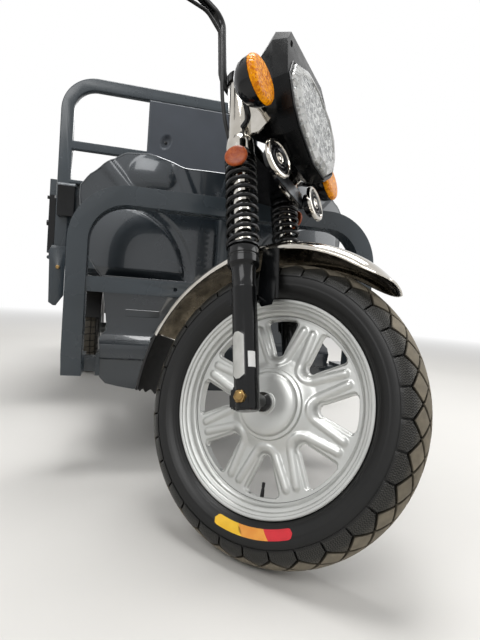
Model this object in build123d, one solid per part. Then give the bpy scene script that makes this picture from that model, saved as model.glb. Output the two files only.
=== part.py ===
from build123d import *
import os
from math import asin, atan2, cos, degrees, radians, sin, tan

os.makedirs("parts", exist_ok=True)

# Electric cargo tricycle, millimetres.
# While it is modelled, y = 0 is the front axle with the fork straight, -Y is forwards,
# +X is the vehicle's left, +Z is up and z = 0 is the ground.
# At the end everything moves along Y so that the origin is under the middle of the whole vehicle.

# Wheels
front_tyre_r = 302.0
front_tyre_w = 110.0
front_crown_r = 62.0
front_bead_r = 214.0
front_rim_w = 76.0
flange_lip = 4.0
rear_tyre_r = 272.0
rear_tyre_w = 122.0
rear_crown_r = 90.0
rear_bead_r = 160.0
rear_rim_w = 96.0
wheelbase = 2050.0
rear_track = 980.0
hub_r = 66.0
front_axle_r = 8.5
rear_stub_r = 15.0
running_fit = 0.05
side_play = 0.3
window_count = 8
window_in_r = 90.0
window_out_r = 176.0

# Steering and fork
rake = 22.0
fork_offset = 48.0
steer_rest = 45.0
fork_leg_x = 112.0
leg_r = 25.0
tube_r = 18.5
shroud_r = 20.0
leg_foot = -24.0
leg_top = 300.0
cup_r = 33.0
spring_r = 36.0
wire_r = 5.0
spring_turns = 10
spring_low = 308.0
spring_high = 530.0
low_clamp = 541.0
low_clamp_t = 34.0
top_clamp = 742.0
top_clamp_t = 22.0
stem_r = 15.0
head_r = 28.0
nut_out = 146.0
harness_r = 4.5

# Front fender, measured from the front axle
fender_crown_r = 345.0
fender_edge_r = 318.0
fender_half_w = 70.0
fender_t = 2.5
fender_front = 54.0
fender_rear = 56.0
flap_end = 80.0
flap_teeth = 9
flap_t = 3.0
tooth_depth = 9.0

# Handlebar
bar_r = 11.0
riser_x = 118.0
riser_back = 42.0
bar_lift = 33.0
bar_rise = 210.0
grip_x = 385.0
grip_r = 16.0
grip_l = 125.0

# Lamps and horns, in the fork's own frame
lens_back = 137.0
lens_front = 153.0
signal_x = 200.0
signal_up = 626.0
signal_r = 51.0
horn_x = 101.0
horn_up = 504.0
horn_face = 92.0
horn_r = 39.0

# Front hoop bumper
hoop_y = 355.0
hoop_w = 860.0
hoop_top = 777.0
hoop_tube = 50.0
hoop_depth = 60.0
hoop_foot = 275.0
hoop_corner = 125.0
bar_top = 538.0
bar_h = 40.0
foot_back = 500.0
bumper_hole_x = 300.0
bumper_hole_r = 5.5

# Leg shield and footwell
shield_y = 508.0
shield_edge_y = 600.0
shield_half = 430.0
shield_t = 5.0
shield_low = 545.0
apron_y = 450.0
apron_t = 3.0
step_out = 25.0
shelf_back = 572.0
apron_half = 338.0
floor_top = 331.0
floor_rear = 830.0

# Chassis
beam_x = 325.0
beam_w = 50.0
beam_h = 60.0
low_beam_top = 325.0
high_beam_top = 590.0
rise_start = 900.0
rise_end = 1060.0
neck_r = 26.0
neck_y = 480.0
neck_z = 810.0
beam_front = 442.0
low_cross = (450.0, 700.0, 848.0)
cross_w = 40.0
tow_t = 10.0
tow_x = 100.0
tow_z = 80.0
tow_low = 470.0
tow_r = 5.5

# Cargo bed
bed_front = 1098.0
bed_hoop_w = 1160.0
bed_hoop_top = 1357.0
bed_tube = 50.0
bed_tube_d = 32.0
bed_corner = 115.0
bed_bar_top = 1098.0
bed_bar_h = 35.0
bed_length = 1552.0
bed_frame_h = 40.0
bed_floor_t = 6.0
bed_side_h = 300.0
bed_side_t = 25.0
side_gap = 6.0
rib_h = 2.5
tie_x = 900.0
tie_y = 1100.0
tie_r = 6.0
post = 46.0
hinge_r = 8.0
hinge_pin_r = 3.5
hinge_l = 34.0
hinge_out = 10.0
hinge_drop = 12.0
side_hinge_y = (1260.0, 1640.0, 2040.0, 2440.0)
tail_hinge_x = (-420.0, -140.0, 140.0, 420.0)

# Seat
seat_w = 460.0
seat_front = 800.0
seat_top = 690.0
seat_h = 75.0
seat_box_t = 3.0
seat_box_half = 270.0
seat_base_t = 12.0
seat_lift = 5.0
seat_hinges = (-170.0, 170.0)
panel_w = 473.0
panel_top = 1303.0
panel_low = 830.0
panel_t = 13.0

# Rear axle and springs
axle_r = 32.0
motor_r = 95.0
motor_l = 240.0
leaf_t = 6.0
leaf_w = 50.0
leaf_half = 330.0
leaf_sag = 105.0
leaf_lengths = (330.0, 270.0, 210.0, 150.0, 100.0)
rear_guard_r = 296.0
guard_reach = 75.0

# Worked out from the sizes above
lean = degrees(asin(sin(radians(steer_rest)) * sin(radians(rake))))
hub_sink = fork_offset * (1 - cos(radians(steer_rest))) * sin(radians(rake))
crown_ring_r = front_tyre_r - front_crown_r
hub_height = crown_ring_r * cos(radians(lean)) + front_crown_r + hub_sink
rail_top = high_beam_top + bed_frame_h
deck = rail_top + bed_floor_t
bed_rear = bed_front + bed_length
bed_half = bed_hoop_w / 2
panel_in = bed_half + side_gap
panel_out = panel_in + bed_side_t
side_low = deck + side_gap
side_top = side_low + bed_side_h
bed_inner_rear = bed_rear - bed_side_t - side_gap
beam_rear = bed_rear - post
last_cross = beam_rear - cross_w - 4
axle_cross = wheelbase - cross_w / 2
high_cross = (bed_front + 2, (bed_front + axle_cross) / 2, axle_cross, (axle_cross + last_cross) / 2, last_cross)
bar_low = top_clamp + bar_lift
bar_high = bar_low + bar_rise
seat_base_low = seat_top + seat_lift
seat_hinge_y = floor_rear - 12
seat_hinge_z = seat_base_low - 10

# The fork's own frame: x to the left, y backwards across the steering axis, z up along it
straight = Pos(0, 0, hub_height) * Rot(-rake, 0, 0)
turned = Pos(0, fork_offset, 0) * Rot(0, 0, steer_rest) * Pos(0, -fork_offset, 0)
steered = straight * turned

parts = {}


def box(x0, x1, y0, y1, z0, z1):
    """A block between two corners."""
    size = Box(abs(x1 - x0), abs(y1 - y0), abs(z1 - z0))
    return Pos((x0 + x1) / 2, (y0 + y1) / 2, (z0 + z1) / 2) * size


def rod(start, end, radius):
    """A round bar from one point to another."""
    line = Vector(*end) - Vector(*start)
    plane = Plane(origin=start, z_dir=line)
    return extrude(plane * Circle(radius), line.length)


def along_x(x0, x1, radius, y=0, z=0):
    return rod((x0, y, z), (x1, y, z), radius)


def plate_yz(points, x0, x1):
    """A flat plate cut to an outline of (y, z) points, from x0 to x1."""
    face = make_face(Polyline(*[(x0, y, z) for y, z in points], close=True))
    return extrude(face, x1 - x0, dir=(1, 0, 0))


def plate_xz(points, y0, y1):
    """A flat plate cut to an outline of (x, z) points, from y0 to y1."""
    face = make_face(Polyline(*[(x, y0, z) for x, z in points], close=True))
    return extrude(face, y1 - y0, dir=(0, 1, 0))


def bent_bar(points, radii, width, depth, facing):
    """A rectangular bar along straight runs and tangent arcs; width lies in the plane of the bend."""
    path = FilletPolyline(*points, radius=radii)
    start = Vector(*points[0])
    plane = Plane(origin=start, x_dir=facing, z_dir=Vector(*points[1]) - start)
    return sweep(plane * Rectangle(depth, width), path=path)


def bent_tube(points, radii, radius):
    """A round bar along straight runs and tangent arcs."""
    path = FilletPolyline(*points, radius=radii)
    start = Vector(*points[0])
    plane = Plane(origin=start, z_dir=Vector(*points[1]) - start)
    return sweep(plane * Circle(radius), path=path)


def both_sides(shape):
    return [shape, mirror(shape, about=Plane.YZ)]


def join(shapes):
    """One solid, or several that don't touch, from a list of shapes."""
    whole = shapes[0]
    for shape in shapes[1:]:
        whole = whole + shape
    return whole


def ring_section(outline):
    """Turn an outline of (x, r) points about the wheel's axle, which lies along X."""
    return revolve(make_face(outline), Axis.X, 360)


def tyre(radius, width, crown_r, bead_r, rim_w):
    """A solid tyre: rounded tread, bulging sidewalls, beads against the rim."""
    half = width / 2
    rim_half = rim_w / 2 - flange_lip
    bead_top = bead_r + 2.3
    bulge_r = bead_r + 0.42 * (radius - bead_r)
    shoulder_x = half * 0.86
    shoulder_r = radius - crown_r + (crown_r ** 2 - shoulder_x ** 2) ** 0.5
    outline = (
        Polyline((rim_half, bead_r - 6), (-rim_half, bead_r - 6), (-rim_half, bead_top))
        + ThreePointArc((-rim_half, bead_top), (-half, bulge_r), (-shoulder_x, shoulder_r))
        + ThreePointArc((-shoulder_x, shoulder_r), (0, radius), (shoulder_x, shoulder_r))
        + ThreePointArc((shoulder_x, shoulder_r), (half, bulge_r), (rim_half, bead_top))
        + Line((rim_half, bead_top), (rim_half, bead_r - 6))
    )
    return ring_section(outline)


def rim_barrel(bead_r, rim_w):
    """The rim's hoop with its two flanges and the well between them."""
    half = rim_w / 2
    seat = bead_r - 6
    outline = Polyline(
        (-half, bead_r + 2), (-half + flange_lip, bead_r + 2), (-half + flange_lip, seat),
        (-half * 0.45, seat), (-half * 0.3, seat - 10), (half * 0.3, seat - 10), (half * 0.45, seat),
        (half - flange_lip, seat), (half - flange_lip, bead_r + 2), (half, bead_r + 2),
        (half, seat - 8), (half * 0.6, seat - 10), (half * 0.45, seat - 20),
        (-half * 0.45, seat - 20), (-half * 0.6, seat - 10), (-half, seat - 8), close=True)
    return ring_section(outline)


def front_rim():
    """Cast wheel: barrel, eight windows between eight spokes with twin ribs, and the hub."""
    seat_in = front_bead_r - 22
    disc = along_x(-12, 12, seat_in)
    hub = along_x(-30, 30, hub_r) + along_x(-46, 46, 30)
    cap = along_x(-36, -30, hub_r - 4)
    wheel = disc + rim_barrel(front_bead_r, front_rim_w) + hub + cap
    turn = 360 / window_count
    in_half = window_in_r * tan(radians(turn / 2)) - 13
    out_half = window_out_r * tan(radians(turn / 2)) - 30
    corners = [(-in_half, window_in_r), (in_half, window_in_r), (out_half, window_out_r), (-out_half, window_out_r)]
    window = plate_yz(corners, -20, 20)
    window = fillet(window.edges().filter_by(Axis.X), 9)
    for number in range(window_count):
        wheel -= Rot((number + 0.5) * turn, 0, 0) * window
    rib_in = hub_r - 4
    rib_out = seat_in + 2
    for number in range(window_count):
        for side in (-1, 1):
            rib = box(-20, 20, side * 12 - 3.5, side * 12 + 3.5, rib_in, rib_out)
            wheel += Rot(number * turn, 0, 0) * rib
    return wheel - along_x(-60, 60, front_axle_r + running_fit)


def rear_rim():
    """Pressed steel wheel with a dished disc, hand holes and a brake drum behind it."""
    seat_in = rear_bead_r - 24
    disc = along_x(8, 16, seat_in)
    hub = along_x(-30, 40, 42)
    drum = along_x(-44, 8, 92)
    wheel = disc + rim_barrel(rear_bead_r, rear_rim_w) + hub + drum
    for number in range(8):
        wheel -= Rot(number * 45, 0, 0) * rod((-60, 0, 116), (60, 0, 116), 11)
    for number in range(5):
        wheel += Rot(number * 72 + 36, 0, 0) * rod((14, 0, 62), (30, 0, 62), 9)
    return wheel - along_x(-60, 60, rear_stub_r + running_fit)


def fork_legs():
    """Lower legs with the axle clamps at the foot and the spring cups at the top."""
    leg = rod((0, 0, leg_foot), (0, 0, leg_top), leg_r - 1) + rod((0, 0, 60), (0, 0, leg_top), leg_r)
    leg += rod((0, 0, leg_top - 34), (0, 0, spring_low), cup_r)
    leg -= rod((0, 0, leg_top - 60), (0, 0, spring_low + 1), tube_r)
    leg -= along_x(-60, 60, front_axle_r)
    return join(both_sides(Pos(fork_leg_x, 0, 0) * leg))


def fork_tubes():
    """Polished inner tubes with the wider upper shrouds between the two clamps."""
    tube = rod((0, 0, leg_top - 60), (0, 0, top_clamp + top_clamp_t + 4), tube_r)
    tube += rod((0, 0, low_clamp + low_clamp_t), (0, 0, top_clamp), shroud_r)
    return join(both_sides(Pos(fork_leg_x, 0, 0) * tube))


def fork_springs():
    """Outside coil springs, each turn a rounded ring on the tube, with a cap ring at the top."""
    sleeve_r = spring_r - 2 * wire_r + 1
    cap_r = spring_r - 2
    foot = (wire_r ** 2 - (wire_r - 1) ** 2) ** 0.5
    pitch = (spring_high - spring_low - 2 * wire_r) / (spring_turns - 1)
    outline = Line((tube_r, 0, spring_low), (sleeve_r, 0, spring_low))
    last = spring_low
    for number in range(spring_turns):
        up = spring_low + wire_r + number * pitch
        outline += Line((sleeve_r, 0, last), (sleeve_r, 0, up - foot))
        outline += ThreePointArc((sleeve_r, 0, up - foot), (spring_r, 0, up), (sleeve_r, 0, up + foot))
        last = up + foot
    outline += Polyline((sleeve_r, 0, last), (sleeve_r, 0, spring_high), (cap_r, 0, spring_high),
                        (cap_r, 0, low_clamp), (tube_r, 0, low_clamp), (tube_r, 0, spring_low))
    spring = revolve(make_face(outline), Axis.Z, 360)
    return join(both_sides(Pos(fork_leg_x, 0, 0) * spring))


def clamp_plate(low, height, ear_r):
    """A triangular clamp that joins both legs to the steering stem."""
    half = fork_leg_x
    points = [(-half, -ear_r), (half, -ear_r), (half, ear_r), (34, fork_offset + 30),
              (-34, fork_offset + 30), (-half, ear_r)]
    plate = extrude(Pos(0, 0, low) * make_face(Polyline(*points, close=True)), height)
    plate += rod((half, 0, low), (half, 0, low + height), ear_r)
    plate += rod((-half, 0, low), (-half, 0, low + height), ear_r)
    for side in (-1, 1):
        plate -= rod((side * half, 0, low - 1), (side * half, 0, low + height + 1), tube_r)
    return plate


def steering_stem():
    """Lower and upper clamps on the stem that turns in the head tube, with the bar clamps on top."""
    stem = rod((0, fork_offset, low_clamp), (0, fork_offset, top_clamp + top_clamp_t + 8), stem_r)
    stem += clamp_plate(low_clamp, low_clamp_t, 30) + clamp_plate(top_clamp, top_clamp_t, 28)
    stem += rod((0, fork_offset, top_clamp + top_clamp_t), (0, fork_offset, top_clamp + top_clamp_t + 12), 22)
    for side in (-1, 1):
        x = side * 45
        foot = box(x - 13, x + 13, riser_back - 17, riser_back + 17, top_clamp + top_clamp_t, bar_low + 16)
        stem += foot
    return stem - bar_path_solid(bar_r)


def bar_points():
    """The bar's route on its left side, from the middle to the grip's end."""
    return [(0, riser_back, bar_low), (riser_x, riser_back, bar_low), (riser_x, riser_back, bar_high),
            (riser_x + 120, riser_back + 22, bar_high), (grip_x, riser_back + 112, bar_high - 6)]


def bar_path_solid(radius):
    left = bent_tube(bar_points(), [34, 34, 90], radius)
    right = mirror(left, about=Plane.YZ)
    return left + right


def handlebar_controls():
    """Rubber grips, switch blocks with lever perches, and the two brake levers."""
    points = bar_points()
    inner = Vector(*points[3])
    outer = Vector(*points[4])
    run = (outer - inner).normalized()
    grip_start = outer - run * grip_l
    grip = rod(tuple(grip_start), tuple(outer + run * 3), grip_r)
    block_end = grip_start - run * 2
    block = rod(tuple(block_end - run * 42), tuple(block_end), 20)
    perch = block_end - run * 60
    block += rod(tuple(perch), tuple(perch + run * 20), 17)
    pivot = perch + run * 10 + Vector(0, -36, 4)
    block += rod(tuple(perch + run * 10), tuple(pivot), 8)
    tip = outer + Vector(4, -62, -6)
    lever = rod(tuple(pivot), tuple(tip), 6) + Pos(*tip) * Sphere(9)
    hole = bar_path_solid(bar_r)
    side = grip + block + lever - hole
    return join(both_sides(side))


def mirrors():
    """Mirror stalks from the perches, each with a rounded head."""
    points = bar_points()
    inner = Vector(*points[3])
    outer = Vector(*points[4])
    run = (outer - inner).normalized()
    foot = outer - run * (grip_l + 54) + Vector(0, -4, 18)
    elbow = foot + Vector(12, 6, 70)
    top = foot + Vector(92, 20, 175)
    stalk = bent_tube([tuple(foot), tuple(elbow), tuple(top)], [40], 5)
    head = box(-62, 62, -7, 9, -40, 40)
    head = fillet(head.edges().filter_by(Axis.Y), 26)
    head = fillet(head.edges().group_by(Axis.Y)[0], 5)
    head = Pos(top.X + 6, top.Y + 4, top.Z + 26) * head
    return join(both_sides(stalk + head))


def polygon_at(points, back):
    """A closed outline of (x, up) points standing across the fork's frame, 'back' mm ahead of the legs."""
    return make_face(Polyline(*[(x, -back, up) for x, up in points], close=True))


def mirrored(half):
    """A whole outline from its left half, which is listed from the top down."""
    return half + [(-x, up) for x, up in reversed(half)]


def taper(sections):
    """A body with flat facets through outlines of (points, distance ahead)."""
    return loft([polygon_at(points, back) for points, back in sections], ruled=True)


lens_outline = mirrored([(35, 780), (105, 735), (129, 680), (118, 612), (95, 571), (35, 522)])
lens_face = mirrored([(30, 766), (94, 726), (114, 678), (104, 618), (84, 582), (30, 538)])


def headlight_housing():
    """Faceted housing with the instrument hood rising above the lens."""
    front = mirrored([(96, 846), (122, 800), (137, 684), (124, 604), (100, 562), (40, 512)])
    middle = mirrored([(100, 866), (124, 815), (134, 690), (120, 606), (98, 566), (40, 520)])
    rear = mirrored([(84, 824), (104, 790), (112, 690), (100, 625), (80, 596), (40, 580)])
    body = taper([(front, lens_back), (middle, 99)]) + taper([(middle, 99), (rear, 40)])
    return body - lamp_bracket()


def headlight_lens():
    return taper([(lens_outline, lens_back), (lens_face, lens_front)])


def lamp_bracket():
    """Ears from the tube shrouds to the headlight, signal stalks and the plate that carries the horns."""
    ear = plate_yz([(-14, 700), (-14, 585), (-44, 585), (-108, 628), (-108, 668), (-60, 700)], 0, 4)
    ear_x = fork_leg_x - 4
    slot = box(-2, 8, -96, -72, 638, 652)
    left = Pos(ear_x, 0, 0) * (ear - slot)
    left += rod((fork_leg_x, 0, 588), (fork_leg_x, 0, 606), shroud_r + 4)
    left -= rod((fork_leg_x, 0, low_clamp), (fork_leg_x, 0, top_clamp), shroud_r)
    left += rod((ear_x + 4, -62, 640), (signal_x - 14, -62, signal_up), 9)
    plate = box(-50, 50, -66, -62, 470, low_clamp + 10) + box(-50, 50, -66, -30, low_clamp + 6, low_clamp + 10)
    horn_arm = box(-horn_x - 10, horn_x + 10, -66, -62, horn_up - 9, horn_up + 9)
    return join(both_sides(left - signal_body()) + [plate + horn_arm])


def horns():
    """Two disc horns with raised rings on the face."""
    horn = rod((0, -66, 0), (0, -horn_face + 6, 0), horn_r - 5) + rod((0, -horn_face + 8, 0), (0, -horn_face, 0), horn_r)
    for radius in (29, 19, 9):
        horn += rod((0, -horn_face, 0), (0, -horn_face - 3, 0), radius) - rod(
            (0, -horn_face + 1, 0), (0, -horn_face - 4, 0), radius - 4)
    return join(both_sides(Pos(horn_x, 0, horn_up) * horn))


def signal_body():
    lens = rod((0, -96, 0), (0, -112, 0), signal_r)
    lens = chamfer(lens.edges().group_by(Axis.Y)[0], 8)
    dome = rod((0, -96, 0), (0, -80, 0), signal_r - 2)
    cone = loft([Plane((0, -80, 0), z_dir=(0, 1, 0)) * Circle(signal_r - 2),
                 Plane((0, -48, 0), z_dir=(0, 1, 0)) * Circle(20)], ruled=True)
    return Pos(signal_x, 0, signal_up) * (lens + dome + cone)


def turn_signals():
    """Round amber lamps with domed housings on the stalks."""
    return join(both_sides(signal_body()))


def fork_reflectors():
    """Round orange reflectors on short arms from the lower clamp's ends."""
    aim = Vector(0.96, -0.28, 0)
    back = Vector(fork_leg_x, 0, 0) + aim * (spring_r + 2)
    back.Z = 510
    disc = rod(tuple(back), tuple(back + aim * 8), 24)
    arm = rod((fork_leg_x + 20, -6, spring_high + 6), (back.X + 1, back.Y, spring_high + 5), 4)
    return join(both_sides(disc + arm - rod((fork_leg_x, 0, spring_high), (fork_leg_x, 0, low_clamp), spring_r - 2)))


def fender_section(outer_gap):
    """The fender's cross-section, an arc across the wheel, in the XY plane with y as the radius."""
    outer = ThreePointArc((-fender_half_w, fender_edge_r), (0, fender_crown_r), (fender_half_w, fender_edge_r))
    inner = ThreePointArc((fender_half_w, fender_edge_r - outer_gap), (0, fender_crown_r - outer_gap),
                          (-fender_half_w, fender_edge_r - outer_gap))
    sides = Line((fender_half_w, fender_edge_r), (fender_half_w, fender_edge_r - outer_gap)) + Line(
        (-fender_half_w, fender_edge_r - outer_gap), (-fender_half_w, fender_edge_r))
    return make_face(outer + inner + sides)


def swept_arc(section, start, end):
    """Turn a section about the axle from one angle to another, measured backwards from straight up."""
    arc = revolve(section, Axis.X, end - start)
    return Rot(90 - end, 0, 0) * arc


def front_fender():
    """Polished fender over the front wheel with its two stays to the legs."""
    shell = swept_arc(fender_section(fender_t), -fender_front, fender_rear)
    stay = plate_yz([(-27, fender_edge_r - 2), (-62, fender_edge_r - 7), (-48, 190), (-8, 190)],
                    fender_half_w - 1, fender_half_w + 3)
    foot = along_x(fender_half_w + 3, fork_leg_x - leg_r + 3, 7, -14, 204)
    foot -= rod((fork_leg_x, 0, 100), (fork_leg_x, 0, 290), leg_r)
    return join([shell] + both_sides(stay + foot))


def mudflap():
    """Rubber flap below the fender's rear end, with a toothed lower edge."""
    flap = swept_arc(fender_section(flap_t), fender_rear, flap_end)
    tooth = 2 * fender_half_w / flap_teeth
    for number in range(flap_teeth):
        x = -fender_half_w + (number + 0.5) * tooth
        notch = plate_xz([(x - tooth / 2, -1), (x + tooth / 2, -1), (x, tooth_depth)],
                         fender_edge_r - 20, fender_crown_r + 20)
        flap -= Rot(90 - flap_end, 0, 0) * notch
    return flap


def front_axle():
    """Axle with its spacers, nuts and the brake plate's stop on the left."""
    axle = along_x(-nut_out, nut_out, front_axle_r)
    leg_in = fork_leg_x - leg_r
    for side in (-1, 1):
        axle += along_x(side * (46 + side_play), side * (leg_in + 6), 14)
        axle += along_x(side * (fork_leg_x + leg_r - 5), side * (nut_out - 5), 12.5)
    return axle - fork_legs()


def brake_harness():
    """Brake cable and loom, from the right lever down behind the leg to the lower clamp."""
    points = [(-259, 77, 964), (-257, 74, 938), (-178, 46, 948), (-138, 32, 905), (-136, 32, 860), (-136, 33, 790),
              (-132, 34, 700), (-122, 33, 640), (-100, 30, low_clamp + low_clamp_t + 1.5)]
    radii = [14, 30, 40, 300, 300, 300, 200]
    return bent_tube(points, radii, harness_r)


def chassis_point(x, back, up):
    """A point given in the straight fork's frame, as chassis coordinates."""
    place = straight * Pos(x, back, up)
    return (place.position.X, place.position.Y, place.position.Z)


def main_frame():
    """Head tube, neck, two long beams that rise under the bed, and the cross members."""
    head_mid = (low_clamp + low_clamp_t + top_clamp) / 2
    foot_z = low_beam_top - beam_h / 2
    neck = bent_tube([chassis_point(0, fork_offset, head_mid), (0, neck_y, neck_z), (0, neck_y, foot_z)],
                     [60], neck_r)
    head = rod((0, fork_offset, low_clamp + low_clamp_t + side_play), (0, fork_offset, top_clamp - side_play), head_r)
    bore = rod((0, fork_offset, low_clamp), (0, fork_offset, top_clamp + top_clamp_t), stem_r + running_fit)
    frame = neck + straight * head - straight * bore
    angle = atan2(high_beam_top - low_beam_top, rise_end - rise_start)
    shift = beam_h * tan(angle / 2)
    profile = [(beam_front, low_beam_top), (rise_start, low_beam_top), (rise_end, high_beam_top),
               (beam_rear, high_beam_top), (beam_rear, high_beam_top - beam_h),
               (rise_end + shift, high_beam_top - beam_h), (rise_start + shift, low_beam_top - beam_h),
               (beam_front, low_beam_top - beam_h)]
    for side in (-1, 1):
        x = side * beam_x
        frame += plate_yz(profile, x - beam_w / 2, x + beam_w / 2)
    for y in low_cross:
        frame += box(-beam_x, beam_x, y, y + beam_w, low_beam_top - beam_h, low_beam_top)
    for y in high_cross:
        frame += box(-beam_x, beam_x, y, y + cross_w, high_beam_top - beam_h, high_beam_top)
    frame += box(-24, 24, neck_y, shield_y, shield_low + 155, shield_low + 195)
    tow = box(-80, 80, last_cross + cross_w, last_cross + cross_w + tow_t, tow_low - 30, high_beam_top)
    for x in (-tow_x / 2, tow_x / 2):
        for z in (tow_low, tow_low + tow_z):
            tow -= rod((x, last_cross, z), (x, bed_rear, z), tow_r)
    return frame + tow


def bumper_hoop():
    """Upside-down U of rectangular tube with a crossbar, its feet bent back under the floor."""
    x = (hoop_w - hoop_tube) / 2
    y = hoop_y + hoop_depth / 2
    top = hoop_top - hoop_tube / 2
    hoop = bent_bar([(-x, y, hoop_foot + 60), (-x, y, top), (x, y, top), (x, y, hoop_foot + 60)],
                    hoop_corner, hoop_tube, hoop_depth, (0, 1, 0))
    hoop_back = hoop_y + hoop_depth
    foot = plate_yz([(hoop_y, hoop_foot + 60), (hoop_y + 18, hoop_foot), (foot_back, hoop_foot),
                     (foot_back, hoop_foot + hoop_tube), (hoop_back, hoop_foot + hoop_tube),
                     (hoop_back, hoop_foot + 60)], x - hoop_tube / 2, x + hoop_tube / 2)
    tie = box(beam_x + beam_w / 2, x, foot_back - hoop_tube, foot_back, hoop_foot, hoop_foot + 40)
    inner = x - hoop_tube / 2
    bar = box(-inner, inner, hoop_y + 8, hoop_y + 8 + bar_h, bar_top - bar_h, bar_top)
    stay = box(-22, 22, hoop_y + 8 + bar_h, neck_y - neck_r + 6, bar_top - bar_h + 4, bar_top - 4)
    for hole in (-bumper_hole_x / 2, bumper_hole_x / 2):
        bar -= rod((hole, hoop_y, bar_top - bar_h / 2), (hole, hoop_y + 60, bar_top - bar_h / 2), bumper_hole_r)
    neck = rod((0, neck_y, 200), (0, neck_y, 700), neck_r)
    return join([hoop, bar, stay - neck] + both_sides(foot + tie))


def curved_sheet(middle_y, edge_y, half, low, high, thick):
    """A sheet bowed about a vertical axis, its middle furthest forwards."""
    front = ThreePointArc((-half, edge_y), (0, middle_y), (half, edge_y))
    rear = ThreePointArc((half, edge_y + thick), (0, middle_y + thick), (-half, edge_y + thick))
    ends = Line((half, edge_y), (half, edge_y + thick)) + Line((-half, edge_y + thick), (-half, edge_y))
    return extrude(Pos(0, 0, low) * make_face(front + rear + ends), high - low)


def leg_shield():
    """Bowed shield with two humps along its top edge."""
    sheet = curved_sheet(shield_y, shield_edge_y, shield_half + 20, shield_low, shield_low + 500, shield_t)
    half = [(0, 338), (132, 338), (185, 357), (236, 371), (301, 369), (346, 345), (402, 303), (shield_half, 270),
            (shield_half, 240), (shield_half - 6, 155), (395, 55), (352, 0)]
    half = [(x, shield_low + up) for x, up in half]
    outline = [(-x, z) for x, z in reversed(half)] + half[1:]
    return sheet & plate_xz(outline, shield_y - 50, shield_edge_y + 100)


def lower_apron():
    """Front panel under the shield with a sloping step, a rim and a skirt, and the shelf behind it."""
    t = apron_t
    y = apron_y
    step = y - step_out
    profile = [(shelf_back, shield_low), (y, shield_low), (y, 380), (step, 355), (step, 318), (step + 10, 312),
               (step + 10, 228), (step + 10 + t, 228), (step + 10 + t, 316), (step + t, 322), (step + t, 352),
               (y + t, 377), (y + t, shield_low - t), (shelf_back, shield_low - t)]
    sheet = plate_yz(profile, -apron_half - 8, apron_half + 8)
    half = [(352, shield_low + 1), (352, shield_low - 8), (338, 490), (331, 440), (325, 395), (344, 372), (338, 326),
            (337, 262), (320, 245), (284, 237), (246, 231)]
    outline = half + [(-x, z) for x, z in reversed(half)]
    sheet &= plate_xz(outline, step - 10, shelf_back + 10)
    stay_hole = box(-23, 23, y - 5, y + 10, bar_top - bar_h + 3, bar_top - 3)
    return sheet - stay_hole - rod((0, neck_y, shield_low - 20), (0, neck_y, shield_low + 20), neck_r + 2)


def floorboard():
    """Flat floor with raised ribs along it."""
    front = apron_y - step_out + apron_t
    board = box(-apron_half, apron_half, front, floor_rear, low_beam_top, floor_top)
    for number in range(7):
        x = (number - 3) * 80
        board += box(x - 6, x + 6, shield_edge_y + 20, floor_rear - 20, floor_top, floor_top + rib_h)
    return board - rod((0, neck_y, low_beam_top - 10), (0, neck_y, floor_top + 10), neck_r + 2)


def seat_box():
    """Open-topped sheet box that holds the batteries, with the fixed half of the seat's hinges."""
    half = seat_box_half
    outer = box(-half, half, floor_rear, bed_front - 14, low_beam_top, seat_top)
    inner = box(-half + seat_box_t, half - seat_box_t, floor_rear + seat_box_t, bed_front - 14 - seat_box_t,
                low_beam_top + seat_box_t, seat_top + 1)
    shell = outer - inner
    for x in seat_hinges:
        shell += seat_hinge(x)[0]
    return shell


def hinge_x(x, y, z):
    """Barrels and pin of a hinge along X: the fixed barrel, then the two moving barrels with the pin."""
    third = hinge_l / 3
    fixed = along_x(x - third / 2, x + third / 2, hinge_r, y, z)
    fixed -= along_x(x - third, x + third, hinge_pin_r + running_fit, y, z)
    moving = along_x(x - hinge_l / 2, x - third / 2 - side_play, hinge_r, y, z)
    moving += along_x(x + third / 2 + side_play, x + hinge_l / 2, hinge_r, y, z)
    moving += along_x(x - hinge_l / 2, x + hinge_l / 2, hinge_pin_r, y, z)
    return fixed, moving


def seat_hinge(x):
    third = hinge_l / 3
    fixed, moving = hinge_x(x, seat_hinge_y, seat_hinge_z)
    fixed += box(x - third / 2, x + third / 2, seat_hinge_y + hinge_r - 1, floor_rear, seat_hinge_z - 5, seat_hinge_z + 3)
    pin = along_x(x - third, x + third, hinge_pin_r + running_fit, seat_hinge_y, seat_hinge_z)
    fixed -= pin
    for side in (-1, 1):
        middle = x + side * (third / 2 + side_play + (hinge_l / 2 - third / 2 - side_play) / 2)
        wide = (hinge_l / 2 - third / 2 - side_play) / 2
        moving += box(middle - wide, middle + wide, seat_hinge_y - 4, seat_hinge_y + 4, seat_hinge_z, seat_base_low + 1)
    return fixed, moving


def seat_base():
    """Board under the cushion with the moving half of its hinges."""
    board = box(-seat_w / 2 + 10, seat_w / 2 - 10, seat_front, bed_front - 20, seat_base_low, seat_base_low + seat_base_t)
    for x in seat_hinges:
        board += seat_hinge(x)[1]
    return board


def seat_cushion():
    low = seat_base_low + seat_base_t
    pad = box(-seat_w / 2, seat_w / 2, seat_front + 2, bed_front - 28, low, low + seat_h)
    pad = fillet(pad.edges().filter_by(Axis.Z), 40)
    return fillet(pad.edges().group_by(Axis.Z)[-1], 20)


def battery_block():
    return box(-seat_box_half + 30, seat_box_half - 30, floor_rear + 20, bed_front - 34,
               low_beam_top + seat_box_t, low_beam_top + 260)


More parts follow.
